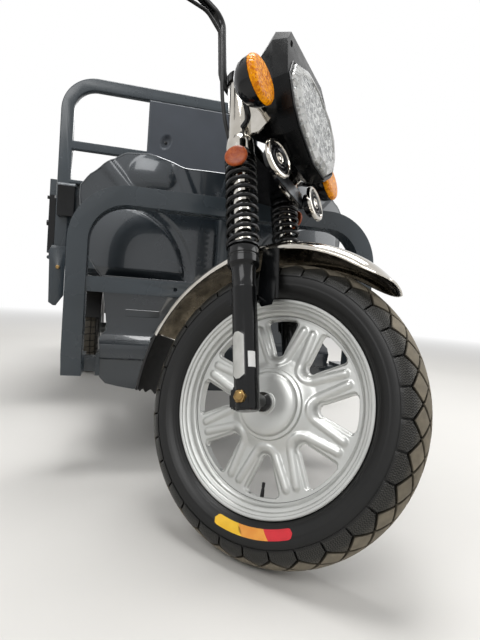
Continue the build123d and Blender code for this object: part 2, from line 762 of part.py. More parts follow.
def backrest_panel():
    """Flat panel behind the driver with a folded rim and two oval recesses with their bolts."""
    panel = box(-panel_w / 2, panel_w / 2, bed_front - panel_t, bed_front, panel_low, panel_top)
    up = panel_top - 195
    front = bed_front - panel_t
    for x in (-183, 183):
        recess = extrude(Plane((x, front, up), x_dir=(1, 0, 0), z_dir=(0, -1, 0)) * Ellipse(15, 10), -7)
        panel -= recess
        panel += rod((x, front + 7, up), (x, front + 3, up), 6)
    return panel


def bed_headboard():
    """Hoop of rectangular tube with its crossbar, standing on the bed's frame, and the low front wall."""
    x = bed_half - bed_tube / 2
    y = bed_front + bed_tube_d / 2
    top = bed_hoop_top - bed_tube / 2
    hoop = bent_bar([(-x, y, rail_top), (-x, y, top), (x, y, top), (x, y, rail_top)],
                    bed_corner, bed_tube, bed_tube_d, (0, 1, 0))
    inner = x - bed_tube / 2
    bar = box(-inner, inner, bed_front, bed_front + 28, bed_bar_top - bed_bar_h, bed_bar_top)
    back = bed_front + bed_tube_d
    wall = box(-inner, inner, back - 3, back, rail_top, side_top)
    rim = box(-inner, inner, bed_front, back, side_top - 16, side_top)
    return join([hoop, bar, wall, rim])


def corner_brackets():
    """Deep gusset plates at the bed's front corners, cut off at an angle below, with the rear posts."""
    inner = bed_half - 48
    top = rail_top + 40
    low = rail_top - 202
    plate = plate_xz([(inner, top), (panel_in, top), (panel_in + 8, top - 20), (panel_in + 2, low + 12),
                      (panel_in - 16, low), (inner + 28, low), (inner, low + 42)], bed_front - 6, bed_front)
    bolt = rod((inner + 26, bed_front - 6, rail_top - 46), (inner + 26, bed_front - 12, rail_top - 46), 9)
    rear = box(bed_half - post, bed_half, bed_inner_rear - post, bed_inner_rear, rail_top, side_top)
    return join(both_sides(plate + bolt) + both_sides(rear))


def bed_frame():
    """Flat frame of rails and cross tubes under the deck, with the fixed halves of the hinges."""
    rear = bed_inner_rear
    frame = box(-bed_half, bed_half, bed_front, bed_front + post, high_beam_top, rail_top)
    frame += box(-bed_half, bed_half, rear - post, rear, high_beam_top, rail_top)
    for side in (-1, 1):
        frame += box(side * (bed_half - post), side * bed_half, bed_front, rear, high_beam_top, rail_top)
    for y in high_cross[1:-1]:
        frame += box(-bed_half, bed_half, y, y + cross_w, high_beam_top, rail_top)
    left = [side_hinge(y)[0] for y in side_hinge_y]
    back = [tail_hinge(x)[0] for x in tail_hinge_x]
    for piece in left + back:
        frame += piece
    for piece in left:
        frame += mirror(piece, about=Plane.YZ)
    return frame


def hinge_y(x, y, z):
    """The same hinge along Y."""
    turn = Pos(x, y, z) * Rot(0, 0, 90)
    fixed, moving = hinge_x(0, 0, 0)
    return turn * fixed, turn * moving


def side_hinge(y):
    """One hinge of the left side panel: its strap on the frame, and its straps on the panel."""
    x = panel_out + hinge_out
    z = side_low - hinge_drop
    third = hinge_l / 3
    fixed, moving = hinge_y(x, y, z)
    bore = rod((x, y - third, z), (x, y + third, z), hinge_pin_r + running_fit)
    fixed += box(bed_half, x, y - third / 2, y + third / 2, z - hinge_r, z - 1)
    fixed -= bore
    for side in (-1, 1):
        near = y + side * (third / 2 + side_play)
        far = y + side * hinge_l / 2
        moving += box(panel_out, x, near, far, z, side_low + 42)
    return fixed, moving


def tail_hinge(x):
    """One hinge of the tailgate."""
    y = bed_rear + hinge_out
    z = side_low - hinge_drop
    third = hinge_l / 3
    rear = bed_inner_rear
    fixed, moving = hinge_x(x, y, z)
    fixed += box(x - third / 2, x + third / 2, rear, y, z - hinge_r, z - 1)
    fixed -= along_x(x - third, x + third, hinge_pin_r + running_fit, y, z)
    for side in (-1, 1):
        near = x + side * (third / 2 + side_play)
        far = x + side * hinge_l / 2
        moving += box(near, far, bed_rear, y, z, side_low + 42)
    return fixed, moving


def pressed_panel(length, height, thick, fields):
    """A drop side lying along X with its outside towards -Y: pressed fields between upright ribs."""
    panel = box(0, length, 0, thick, 0, height)
    pitch = (length - 60) / fields
    for number in range(fields):
        x = 30 + number * pitch
        panel -= box(x + 18, x + pitch - 18, -1, 7, 55, height - 55)
    return panel


def side_panel_left():
    """Left drop side with its hinge straps."""
    rear = bed_inner_rear
    front = bed_front + bed_tube_d + side_gap
    panel = Pos(panel_out, front, side_low) * Rot(0, 0, 90) * pressed_panel(rear - front, bed_side_h, bed_side_t, 5)
    for y in side_hinge_y:
        panel += side_hinge(y)[1]
    return panel


def tailgate():
    """Tailgate across the whole width, with its hinge straps."""
    panel = Pos(panel_out, bed_rear, side_low) * Rot(0, 0, 180) * pressed_panel(
        2 * panel_out, bed_side_h, bed_side_t, 4)
    for x in tail_hinge_x:
        panel += tail_hinge(x)[1]
    return panel


def tail_latches():
    """Bolts on the tailgate's outside, near its ends."""
    body = box(panel_out - 90, panel_out - 20, bed_rear, bed_rear + 12, side_top - 60, side_top - 34)
    body += along_x(panel_out - 100, panel_out - 6, 6, bed_rear + 12, side_top - 47)
    body += box(panel_out - 70, panel_out - 58, bed_rear + 8, bed_rear + 34, side_top - 53, side_top - 41)
    return join(both_sides(body))


def bed_latches():
    """Upright levers with hooks on the outside of the hoop's legs."""
    x = bed_half
    plate = box(x, x + 6, bed_front + 3, bed_front + 29, rail_top + 50, rail_top + 230)
    lever = box(x + 6, x + 24, bed_front + 8, bed_front + 24, rail_top + 20, rail_top + 242)
    middle = bed_front + 16
    hook = rod((x + 24, middle, rail_top + 232), (x + 34, middle, rail_top + 232), 7)
    pivot = rod((x + 24, middle, rail_top + 130), (x + 32, middle, rail_top + 130), 11)
    return join(both_sides(plate + lever + hook + pivot))


def marker_boxes():
    """Dark boxes with bright tops on the front of the hoop's legs."""
    middle = bed_half - 45
    body = box(middle - 32, middle + 32, bed_front - 55, bed_front, rail_top + 155, rail_top + 275)
    lid = box(middle - 35, middle + 35, bed_front - 58, bed_front, rail_top + 275, rail_top + 282)
    return join(both_sides(body + lid))


def bed_floor():
    """Deck plate with shallow ribs along it and four tie-down holes."""
    front = bed_front + bed_tube_d
    floor = box(-bed_half, bed_half, front, bed_inner_rear, rail_top, deck)
    for side in (-1, 1):
        floor -= box(side * (bed_half - post), side * (bed_half + 1), bed_inner_rear - post, bed_inner_rear + 1,
                     rail_top - 1, deck + 1)
    for number in range(10):
        x = (number - 4.5) * 106
        floor += box(x - 14, x + 14, front + 60, bed_inner_rear - 80, deck, deck + rib_h)
    middle = (front + bed_inner_rear) / 2
    for x in (-tie_x / 2, tie_x / 2):
        for y in (middle - tie_y / 2, middle + tie_y / 2):
            floor -= rod((x, y, rail_top - 1), (x, y, deck + 8), tie_r)
    return floor


def rear_axle():
    """Axle tube with brake flanges, stub shafts and nuts, and the motor with its gear case."""
    x = rear_track / 2
    flange = x - 44 - side_play
    shape = along_x(-flange, flange, axle_r) + along_x(-motor_l / 2, motor_l / 2, motor_r)
    shape += along_x(motor_l / 2, motor_l / 2 + 60, 70)
    for side in (-1, 1):
        shape += along_x(side * (flange - 14), side * flange, 84)
        shape += along_x(side * (flange - 20), side * (x + 56), rear_stub_r)
        shape += along_x(side * (x + 40 + side_play), side * (x + 52), 21)
    return Pos(0, wheelbase, rear_tyre_r) * shape


def leaf_springs():
    """Stacked leaves on the axle, their eyes on pins between hangers under the beams, and the clamps."""
    bend = (leaf_half ** 2 + leaf_sag ** 2) / (2 * leaf_sag)
    low = rear_tyre_r + axle_r
    count = len(leaf_lengths)
    centre = low + count * leaf_t + bend
    stack = None
    for number, half in enumerate(leaf_lengths):
        inner = bend + number * leaf_t
        sector = Circle(inner + leaf_t) - Circle(inner)
        keep = Pos(0, -inner) * Rectangle(2 * half, 2 * inner - 200)
        leaf = extrude(Plane.YZ * (sector & keep), leaf_w / 2, both=True)
        stack = leaf if stack is None else stack + leaf
    stack = Pos(0, 0, centre) * stack
    eye_z = centre - (bend ** 2 - leaf_half ** 2) ** 0.5 + 2
    half = leaf_w / 2
    for side in (-1, 1):
        y = side * leaf_half
        stack += along_x(-half, half, 15, y, eye_z)
        stack += along_x(-half - 7, half + 7, 7, y, eye_z)
        for face in (-1, 1):
            stack += box(face * (half + 0.3), face * (half + 6), y - 18, y + 18, eye_z - 18, high_beam_top - beam_h)
    for face in (-1, 1):
        for y in (-axle_r - 8, axle_r + 8):
            stack += rod((face * (half + 7), y, low - 2 * axle_r - 12), (face * (half + 7), y, low + 48), 5)
    stack += box(-half - 14, half + 14, -52, 52, low - 2 * axle_r - 8, low - 2 * axle_r)
    stack += box(-half - 14, half + 14, -52, 52, low + count * leaf_t, low + count * leaf_t + 8)
    return join(both_sides(Pos(beam_x, wheelbase, 0) * stack))


def rear_fenders():
    """Arched guards over the rear wheels, hung from the frame's middle cross tube."""
    x = rear_track / 2
    half = rear_tyre_w / 2 + 6
    section = make_face(Polyline((-half, rear_guard_r), (half, rear_guard_r), (half, rear_guard_r + 3),
                                 (-half, rear_guard_r + 3), close=True))
    arch = revolve(section, Axis.X, 2 * guard_reach)
    arch = Rot(90 - guard_reach, 0, 0) * arch
    arch += box(-14, 14, -18, 18, rear_guard_r + 1, high_beam_top - rear_tyre_r)
    return join(both_sides(Pos(x, wheelbase, rear_tyre_r) * arch))


def tail_lamps():
    """Lamp blocks under the rear rail, and the blank number plate between them."""
    rear = bed_inner_rear
    block = box(400, 540, rear - 34, rear, high_beam_top - 56, high_beam_top)
    lens = box(404, 536, rear, rear + 8, high_beam_top - 52, high_beam_top - 6)
    plate = box(130, 350, rear - 8, rear - 5, high_beam_top - 130, high_beam_top)
    return join(both_sides(block + lens) + [plate])


def foot_controls():
    """Brake pedal on the floor and the parking-brake lever beside the seat."""
    arm = rod((-200, 640, floor_top + 5), (-200, 600, floor_top + 86), 7)
    pad = Pos(-200, 597, floor_top + 92) * Rot(-35, 0, 0) * Box(64, 40, 8)
    base = box(-218, -182, 620, 665, floor_top, floor_top + 14)
    lever = rod((-318, 790, floor_top + 5), (-318, 740, floor_top + 230), 8)
    grip = rod((-318, 746, floor_top + 205), (-318, 716, floor_top + 345), 13)
    foot = box(-334, -302, 760, 820, floor_top, floor_top + 24)
    return join([arm + pad + base, lever + grip + foot])


fixed_nodes = {
    "main_frame": main_frame, "bumper_hoop": bumper_hoop, "leg_shield": leg_shield, "lower_apron": lower_apron,
    "floorboard": floorboard, "foot_controls": foot_controls, "seat_box": seat_box, "battery_block": battery_block,
    "backrest_panel": backrest_panel, "bed_frame": bed_frame, "bed_floor": bed_floor,
    "bed_headboard": bed_headboard, "corner_brackets": corner_brackets, "marker_boxes": marker_boxes,
    "bed_latches": bed_latches, "rear_axle": rear_axle, "leaf_springs": leaf_springs,
    "rear_fenders": rear_fenders, "tail_lamps": tail_lamps, "seat_base": seat_base, "seat_cushion": seat_cushion,
    "side_panel_left": side_panel_left, "tailgate": tailgate, "tail_latches": tail_latches,
}
fork_nodes = {
    "steering_stem": steering_stem, "fork_legs": fork_legs, "fork_tubes": fork_tubes, "fork_springs": fork_springs,
    "fork_reflectors": fork_reflectors, "handlebar": lambda: bar_path_solid(bar_r),
    "handlebar_controls": handlebar_controls, "mirrors": mirrors, "headlight_housing": headlight_housing,
    "headlight_lens": headlight_lens, "lamp_bracket": lamp_bracket, "horns": horns, "turn_signals": turn_signals,
    "front_fender": front_fender, "mudflap": mudflap, "front_axle": front_axle, "brake_harness": brake_harness,
    "front_rim": front_rim,
    "front_tyre": lambda: tyre(front_tyre_r, front_tyre_w, front_crown_r, front_bead_r, front_rim_w),
}

for name, make in fixed_nodes.items():
    parts[name] = make()
for name, make in fork_nodes.items():
    parts[name] = steered * make()
parts["side_panel_right"] = mirror(parts["side_panel_left"], about=Plane.YZ)
rear_tyre = tyre(rear_tyre_r, rear_tyre_w, rear_crown_r, rear_bead_r, rear_rim_w)
rear_wheel = rear_rim()
for side, name in ((1, "left"), (-1, "right")):
    place = Pos(side * rear_track / 2, wheelbase, rear_tyre_r) * Rot(0, 0, 0 if side > 0 else 180)
    parts["rear_tyre_" + name] = place * rear_tyre
    parts["rear_rim_" + name] = place * rear_wheel

bounds = [shape.bounding_box() for shape in parts.values()]
origin_y = (min(bound.min.Y for bound in bounds) + max(bound.max.Y for bound in bounds)) / 2
print("front axle is at y =", round(-origin_y, 3), "hub height", round(hub_height, 3))
for name, shape in parts.items():
    export_step(Pos(0, -origin_y, 0) * shape, "parts/" + name + ".step")
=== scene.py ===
import bmesh
import bpy
import math
from mathutils import Matrix, Vector, noise


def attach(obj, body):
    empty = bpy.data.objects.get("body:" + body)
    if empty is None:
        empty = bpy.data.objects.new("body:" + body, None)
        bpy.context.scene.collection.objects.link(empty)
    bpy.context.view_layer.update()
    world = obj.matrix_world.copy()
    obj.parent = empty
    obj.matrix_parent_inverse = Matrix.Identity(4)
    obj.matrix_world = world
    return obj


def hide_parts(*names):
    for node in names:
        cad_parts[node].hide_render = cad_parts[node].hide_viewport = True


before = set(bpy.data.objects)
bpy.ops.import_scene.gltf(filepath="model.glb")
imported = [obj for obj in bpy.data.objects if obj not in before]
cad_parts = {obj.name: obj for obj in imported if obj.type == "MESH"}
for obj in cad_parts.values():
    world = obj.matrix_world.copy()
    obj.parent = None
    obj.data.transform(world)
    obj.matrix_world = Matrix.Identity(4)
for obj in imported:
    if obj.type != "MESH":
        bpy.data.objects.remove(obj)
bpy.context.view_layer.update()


def at(x, y, z):
    return Matrix.Translation((x, y, z))


def turn(degrees, axis):
    return Matrix.Rotation(math.radians(degrees), 4, axis)


# The vehicle's own sizes are in millimetres; pieces become metres when they are placed.
MM = 0.001
METRES = Matrix.Scale(MM, 4)
FRONT_Y, HUB_UP = -1226.906, 298.694
RAKE, OFFSET, STEER = 22.0, 48.0, 45.0
WHEELBASE, REAR_R, REAR_X = 2050.0, 272.0, 490.0

# Places of the vehicle's own frames: chassis, steered fork, and the rear wheels
CHASSIS = at(0, FRONT_Y, 0)
FORK = (at(0, FRONT_Y, HUB_UP) @ turn(-RAKE, "X")
        @ at(0, OFFSET, 0) @ turn(STEER, "Z") @ at(0, -OFFSET, 0))
PLACES = {
    "chassis": CHASSIS, "seat": CHASSIS, "fork": FORK, "front_wheel": FORK,
    "rear_wheel_left": at(REAR_X, WHEELBASE + FRONT_Y, REAR_R),
    "rear_wheel_right": at(-REAR_X, WHEELBASE + FRONT_Y, REAR_R) @ turn(180, "Z"),
}
# An outline in XY stood up across the vehicle's length, across its width, and a turned part along Z
YZ = Matrix(((0, 0, 1, 0), (1, 0, 0, 0), (0, 1, 0, 0), (0, 0, 0, 1)))
XZ = Matrix(((1, 0, 0, 0), (0, 0, 1, 0), (0, 1, 0, 0), (0, 0, 0, 1)))
UPRIGHT = turn(-90, "Y")

# The camera stands low, ahead of the vehicle and to its right.
CAMERA_AT = Vector((-265.37, -850.29 + FRONT_Y, 502.28)) * MM
CAMERA_RIGHT = Vector((0.96878002, -0.23706193, 0.07257345))
CAMERA_UP = Vector((-0.0600309, 0.05971472, 0.99640877))
SENSOR_HIGH, FOCAL_PX, IMAGE_HIGH_PX = 24.0, 446.56, 640.0


def placed(name, data):
    """A new object with this data, in the scene."""
    obj = bpy.data.objects.new(name, data)
    bpy.context.scene.collection.objects.link(obj)
    return obj


def make_camera():
    data = bpy.data.cameras.new("camera")
    data.sensor_fit = "VERTICAL"
    data.sensor_height = SENSOR_HIGH
    data.lens = SENSOR_HIGH * FOCAL_PX / IMAGE_HIGH_PX
    data.clip_start = 0.01
    camera = placed("camera", data)
    back = CAMERA_RIGHT.cross(CAMERA_UP).normalized()
    up = back.cross(CAMERA_RIGHT).normalized()
    axes = Matrix((CAMERA_RIGHT.normalized(), up, back)).transposed()
    camera.matrix_world = Matrix.Translation(CAMERA_AT) @ axes.to_4x4()
    bpy.context.scene.camera = camera


make_camera()


# Surfaces

NOISE, VALUES, MATHS, MIX = "ShaderNodeTexNoise", "ShaderNodeMapRange", "ShaderNodeMath", "ShaderNodeMix"
SHADER_INPUTS = {
    "metallic": "Metallic", "specular": "Specular IOR Level", "coat": "Coat Weight", "coat_rough": "Coat Roughness",
    "sheen": "Sheen Weight", "clear": "Transmission Weight", "ior": "IOR",
}
DUST = "#A79F92"
DUST_SPECK = 9.0
MATERIALS = {}


def linear(code):
    """An sRGB hex colour as linear light."""
    parts = [int(code[i:i + 2], 16) / 255 for i in (1, 3, 5)]
    return [c / 12.92 if c <= 0.04045 else ((c + 0.055) / 1.055) ** 2.4 for c in parts] + [1.0]


def add(tree, kind, links=None, **settings):
    """A node with its settings, and its inputs as values or joined to a socket or to a node's own result."""
    made = tree.nodes.new(kind)
    for key, value in settings.items():
        setattr(made, key, value)
    for key, value in (links or {}).items():
        if isinstance(value, bpy.types.Node):
            value = next(socket for socket in value.outputs if socket.enabled)
        if isinstance(value, bpy.types.NodeSocket):
            tree.links.new(value, made.inputs[key])
        else:
            made.inputs[key].default_value = value
    return made


def start_material(name):
    made = MATERIALS[name] = bpy.data.materials.new(name)
    made.use_nodes = True
    tree = made.node_tree
    tree.nodes.clear()
    return tree, add(tree, "ShaderNodeTexCoord").outputs["Object"]


def end_material(tree, colour, gloss, height, relief, inputs):
    """A finish's last nodes: its relief, a given number of millimetres deep, its shader and the output."""
    bump = add(tree, "ShaderNodeBump", {"Height": height, "Distance": relief * MM, "Strength": 1.0})
    given = {SHADER_INPUTS[key]: value for key, value in inputs.items()}
    shader = add(tree, "ShaderNodeBsdfPrincipled", {
        "Base Color": colour, "Roughness": gloss, "Normal": bump, **given})
    add(tree, "ShaderNodeOutputMaterial", {"Surface": shader})


def surface(name, tones, patch, rough, grain, relief, dust=0.0, **inputs):
    """A finish with two tones in soft patches, an uneven gloss, a fine relief and dust on what faces up."""
    tree, place = start_material(name)
    broad = add(tree, NOISE, {"Vector": place, "Scale": 1000.0 / patch, "Detail": 3.0})
    share = add(tree, VALUES, {"Value": broad, "From Min": 0.35, "From Max": 0.65})
    colour = add(tree, MIX, {0: share, 6: linear(tones[0]), 7: linear(tones[1])}, data_type="RGBA")
    if dust:
        normal = add(tree, "ShaderNodeNewGeometry").outputs["Normal"]
        up = add(tree, "ShaderNodeSeparateXYZ", {0: normal}).outputs["Z"]
        lying = add(tree, VALUES, {"Value": up, "From Min": 0.55, "From Max": 1.0, "To Max": dust})
        specks = add(tree, NOISE, {"Vector": place, "Scale": 1000.0 / DUST_SPECK, "Detail": 5.0})
        amount = add(tree, MATHS, {0: lying, 1: specks}, operation="MULTIPLY")
        colour = add(tree, MIX, {0: amount, 6: colour, 7: linear(DUST)}, data_type="RGBA")
    smears = add(tree, NOISE, {"Vector": place, "Scale": 2500.0 / patch, "Detail": 4.0})
    gloss = add(tree, VALUES, {
        "Value": smears, "From Min": 0.3, "From Max": 0.7, "To Min": rough[0], "To Max": rough[1]})
    fine = add(tree, NOISE, {"Vector": place, "Scale": 1000.0 / grain, "Detail": 2.0})
    end_material(tree, colour, gloss, fine, relief, inputs)


# Powder-coated steel tube: semi-gloss slate grey with the coat's slight orange peel
surface("powder_coat_slate", ("#353D43", "#2F363B"), 240, (0.2, 0.32), 2.2, 0.012, dust=0.22)
# Lacquered steel sheet with fine metal flake: glossier than the frame, with a bright sheen
surface("flake_lacquer_slate", ("#262D33", "#20262B"), 320, (0.24, 0.34), 1.2, 0.006, dust=0.12, metallic=0.3,
        coat=0.7, coat_rough=0.04)
# Powder-coated sheet behind the driver: darker and almost matt
surface("matt_coat_slate", ("#3B4048", "#33383F"), 200, (0.42, 0.56), 1.6, 0.01, dust=0.2, specular=0.4)
# Gloss black lacquer on the fork legs, clamps and springs
surface("gloss_black_lacquer", ("#08090A", "#0D0E10"), 90, (0.1, 0.2), 1.5, 0.006, dust=0.12, specular=0.3)
# Electroplated chrome: bright with a warm cast, a haze of fine smears
surface("plated_chrome", ("#C9C5BE", "#B4AFA6"), 70, (0.05, 0.16), 14.0, 0.02, dust=0.3, metallic=1.0)
# The chrome's less polished inner side, tinted brown and dark: a painted reflection of the floor and painted shade
surface("dirty_chrome", ("#6E6556", "#3F392F"), 45, (0.14, 0.34), 6.0, 0.1, metallic=0.95)
# Zinc-plated fasteners with a yellow passivate
surface("yellow_zinc", ("#A88A58", "#806843"), 12, (0.32, 0.46), 0.8, 0.02, metallic=1.0)
# Bare zinc-plated steel of brackets and strap hinges
surface("bright_zinc", ("#9FA3A6", "#84888C"), 30, (0.3, 0.42), 0.9, 0.02, metallic=1.0)
# Sand-cast aluminium of the gear case: rough and dull
surface("cast_aluminium", ("#9A9C9B", "#7F8281"), 40, (0.5, 0.66), 1.4, 0.12, metallic=0.85)
# Cast wheel under silver flake paint and clear lacquer
surface("silver_wheel_paint", ("#BFC0BD", "#B4B5B2"), 120, (0.3, 0.4), 0.9, 0.014, dust=0.1, metallic=0.55,
        coat=0.3, coat_rough=0.15)
# Moulded black rubber of grips, fenders and the mudflap
surface("moulded_rubber", ("#0B0B0B", "#121110"), 45, (0.46, 0.62), 1.3, 0.05, dust=0.16, specular=0.3)
# Injection-moulded ABS with a polished face
surface("gloss_black_plastic", ("#08090B", "#0D0E12"), 80, (0.09, 0.18), 3.0, 0.01, dust=0.12, specular=0.35)
# The same plastic with a satin face, on the lamp's housing
surface("satin_black_plastic", ("#060708", "#0A0B0C"), 60, (0.2, 0.32), 2.0, 0.01, dust=0.06, specular=0.1)
# Painted shade: the unlit inside of the hood's air slots, drawn as matt plates darker than the plastic round them
surface("slot_black", ("#010101", "#030303"), 20, (0.8, 0.95), 2.0, 0.01, specular=0.02)
# Spark-eroded black plastic of switch blocks and boxes
surface("grained_black_plastic", ("#0E0F10", "#151617"), 30, (0.4, 0.54), 0.9, 0.05, dust=0.15, specular=0.35)
# Leather-grain vinyl of the seat
surface("grained_vinyl", ("#131315", "#1B1B1D"), 60, (0.36, 0.5), 1.7, 0.16, dust=0.12, specular=0.35, sheen=0.1)
# Pressed reflector plastic: orange prisms under a smooth face
surface("orange_reflector", ("#8C3A16", "#A4501F"), 8, (0.24, 0.36), 2.2, 0.12, specular=0.25)
# Red tail lens
surface("tail_lens_red", ("#8E1414", "#A81B18"), 10, (0.12, 0.2), 4.0, 0.2, coat=0.5, coat_rough=0.05)
# Enamelled plate
surface("white_plate", ("#D9DAD8", "#CDCFCE"), 60, (0.3, 0.42), 2.0, 0.01, coat=0.3, coat_rough=0.05)
# Printed film of the tyre's stripe, in three plain colours
surface("stripe_yellow", ("#EDBE22", "#E5B21C"), 20, (0.34, 0.46), 1.5, 0.01)
surface("stripe_orange", ("#E39A3C", "#DC8C30"), 20, (0.34, 0.46), 1.5, 0.01)
surface("stripe_red", ("#C6202C", "#BA1B27"), 20, (0.34, 0.46), 1.5, 0.01)
# Films with a satin face: silver, and white
surface("silver_film", ("#A9A9A5", "#B6B6B2"), 20, (0.28, 0.4), 1.5, 0.01)
surface("white_film", ("#D2D3D1", "#DCDCDA"), 20, (0.3, 0.4), 1.5, 0.01)
# Mirror glass: silvered behind float glass
surface("mirror_glass", ("#DDE1E2", "#D3D8DA"), 90, (0.02, 0.04), 40.0, 0.002, metallic=1.0)
# Painted battery case
surface("battery_case", ("#2B2F35", "#23272C"), 60, (0.45, 0.6), 1.2, 0.04)
# Vacuum-metallised bowl behind the lamp's cover, dimpled
surface("lamp_reflector", ("#C6C8C6", "#9DA09F"), 5, (0.06, 0.2), 3.5, 0.25, metallic=1.0)


def rubber(name, hatch):
    """Tyre rubber: black, satin on the wall, dusty tan where the tread meets the road."""
    tree, place = start_material(name)
    patches = add(tree, NOISE, {"Vector": place, "Scale": 16.0, "Detail": 3.0})
    colour = add(tree, MIX, {0: patches, 6: linear("#090909"), 7: linear("#121211")}, data_type="RGBA")
    streaks = add(tree, NOISE, {"Vector": place, "Scale": 70.0, "Detail": 5.0})
    share = add(tree, VALUES, {"Value": streaks, "From Min": 0.3, "From Max": 0.7, "To Min": 0.7})
    worn = add(tree, "ShaderNodeAttribute", attribute_name="worn").outputs["Fac"]
    amount = add(tree, MATHS, {0: worn, 1: share}, operation="MULTIPLY")
    tan = add(tree, MIX, {0: patches, 6: linear("#6E675A"), 7: linear("#8D8473")}, data_type="RGBA")
    height = add(tree, NOISE, {"Vector": place, "Scale": 700.0, "Detail": 2.0})
    if hatch:
        # Zigzag sipes across the shoulder blocks, drawn 5 mm apart, twice the real pitch, so that they show
        along = add(tree, "ShaderNodeAttribute", attribute_name="hatch").outputs["Vector"]
        parts = add(tree, "ShaderNodeSeparateXYZ", {0: along}).outputs
        zigzag = add(tree, MATHS, {0: parts["Y"], 1: 3.0}, operation="PINGPONG")
        shifted = add(tree, MATHS, {0: parts["X"], 1: zigzag}, operation="ADD")
        line = add(tree, MATHS, {0: shifted, 1: 2.5}, operation="PINGPONG")
        cut = add(tree, VALUES, {"Value": line, "From Min": 0.7, "From Max": 1.4, "To Min": 1.0, "To Max": 0.0})
        zone = add(tree, "ShaderNodeAttribute", attribute_name="hatched").outputs["Fac"]
        cut = add(tree, MATHS, {0: cut, 1: zone}, operation="MULTIPLY")
        raised = add(tree, MATHS, {0: zone, 1: cut}, operation="SUBTRACT")
        height = add(tree, MATHS, {0: cut, 1: -6.0, 2: height}, operation="MULTIPLY_ADD")
        # Painted highlight: the rubber between the sipes is drawn lighter, which leaves the sipes dark like shade in
        # the cuts
        colour = add(tree, MIX, {0: raised, 6: colour, 7: linear("#34332F")}, data_type="RGBA")
    mixed = add(tree, MIX, {0: amount, 6: colour, 7: tan}, data_type="RGBA")
    gloss = add(tree, VALUES, {"Value": amount, "To Min": 0.38, "To Max": 0.85})
    end_material(tree, mixed, gloss, height, 0.12, {"specular": 0.3})


rubber("tyre_rubber_tread", True)
rubber("tyre_rubber_plain", False)


def glass(name, tones, prism, relief, rough, **inputs):
    """Clear or amber lamp plastic with prisms moulded on its inside, its prisms' chips painted in two tones, light
    and dark, as painted reflections.
    """
    tree, place = start_material(name)
    cells = add(tree, "ShaderNodeTexVoronoi", {"Vector": place, "Scale": 1000.0 / prism}, feature="F1").outputs
    # Each chip takes one of the two tones: painted reflections, bright and dark
    chance = add(tree, "ShaderNodeSeparateColor", {0: cells["Color"]}).outputs[0]
    tone = add(tree, MIX, {0: chance, 6: linear(tones[0]), 7: linear(tones[1])}, data_type="RGBA")
    haze = add(tree, NOISE, {"Vector": place, "Scale": 50.0, "Detail": 3.0})
    gloss = add(tree, VALUES, {
        "Value": haze, "From Min": 0.3, "From Max": 0.7, "To Min": rough, "To Max": rough + 0.08})
    end_material(tree, tone, gloss, cells["Distance"], relief, {"ior": 1.49, **inputs})


# Polycarbonate headlamp cover: its face is broken into bright and dark chips, painted reflections of the prisms
# behind it
glass("clear_polycarbonate", ("#F1F2F0", "#6D7272"), 9.0, 2.4, 0.05, clear=0.35)
# The cover's fluted side wall, clearer than its face, with softer painted reflections in its chips
glass("fluted_polycarbonate", ("#E6E7E4", "#8F8E8A"), 30.0, 0.5, 0.06, clear=0.45)
# Amber acrylic of the turn signals with its dimpled inside; the dimples are painted in a lighter and a darker amber,
# as painted reflections
glass("amber_acrylic", ("#FFA806", "#C86A04"), 5.5, 1.2, 0.14, specular=0.15)


# Numbers and outlines

def clamp(value, low=0.0, high=1.0):
    return min(high, max(low, value))


def smooth_step(low, high, value):
    f = clamp((value - low) / (high - low))
    return f * f * (3 - 2 * f)


def spread(start, end, steps):
    """Numbers from start to end in equal steps."""
    return [start + (end - start) * i / steps for i in range(steps + 1)]


def polar(radius, degrees):
    return radius * math.cos(math.radians(degrees)), radius * math.sin(math.radians(degrees))


def mirrored(points):
    """A closed outline from its half on one side, whose first number changes sign on the other."""
    return list(points) + [(-a, b) for a, b in reversed(points)]


def round_section(radius, sides=8):
    return [polar(radius, 360 * i / sides) for i in range(sides)]


def rounded_box(half_x, half_y, radius, steps):
    """A rectangle about its middle with rounded corners."""
    outline = []
    for start, side, end in ((0, 1, 1), (90, -1, 1), (180, -1, -1), (270, 1, -1)):
        for angle in spread(start, start + 90, steps):
            x, y = polar(radius, angle)
            outline.append((side * (half_x - radius) + x, end * (half_y - radius) + y))
    return outline


def arc_through(a, b, c, steps):
    """Points along the circle through three points, without the first."""
    ax, ay, bx, by, cx, cy = *a, *b, *c
    d = 2 * (ax * (by - cy) + bx * (cy - ay) + cx * (ay - by))
    squares = [x * x + y * y for x, y in (a, b, c)]
    ux = sum(s * v for s, v in zip(squares, (by - cy, cy - ay, ay - by))) / d
    uy = sum(s * v for s, v in zip(squares, (cx - bx, ax - cx, bx - ax))) / d
    start, middle, end = (math.atan2(y - uy, x - ux) for x, y in (a, b, c))
    radius = math.hypot(ax - ux, ay - uy)
    sweep = (end - start) % (2 * math.pi)
    if (middle - start) % (2 * math.pi) > sweep:
        sweep -= 2 * math.pi
    return [(ux + radius * math.cos(angle), uy + radius * math.sin(angle))
            for angle in spread(start, start + sweep, steps)[1:]]


def bent(points, radii, steps):
    """Straight runs joined by arcs of the given radii, as a list of points."""
    points = [Vector(p) for p in points]
    line = [points[0]]
    for before, corner, after, radius in zip(points, points[1:], points[2:], radii):
        a = (before - corner).normalized()
        b = (after - corner).normalized()
        half = a.angle(b) / 2
        reach = radius / math.tan(half)
        middle = corner + (a + b).normalized() * (radius / math.sin(half))
        start, end = (corner + way * reach - middle for way in (a, b))
        span = start.angle(end)
        for t in spread(0, 1, steps):
            line.append(middle + (start * math.sin((1 - t) * span) + end * math.sin(t * span)) / math.sin(span))
    return line + [points[-1]]


# Making meshes. A part is a small bmesh in millimetres; a piece is parts put together.

def face_of(points):
    bm = bmesh.new()
    bm.faces.new([bm.verts.new(p) for p in points])
    return bm


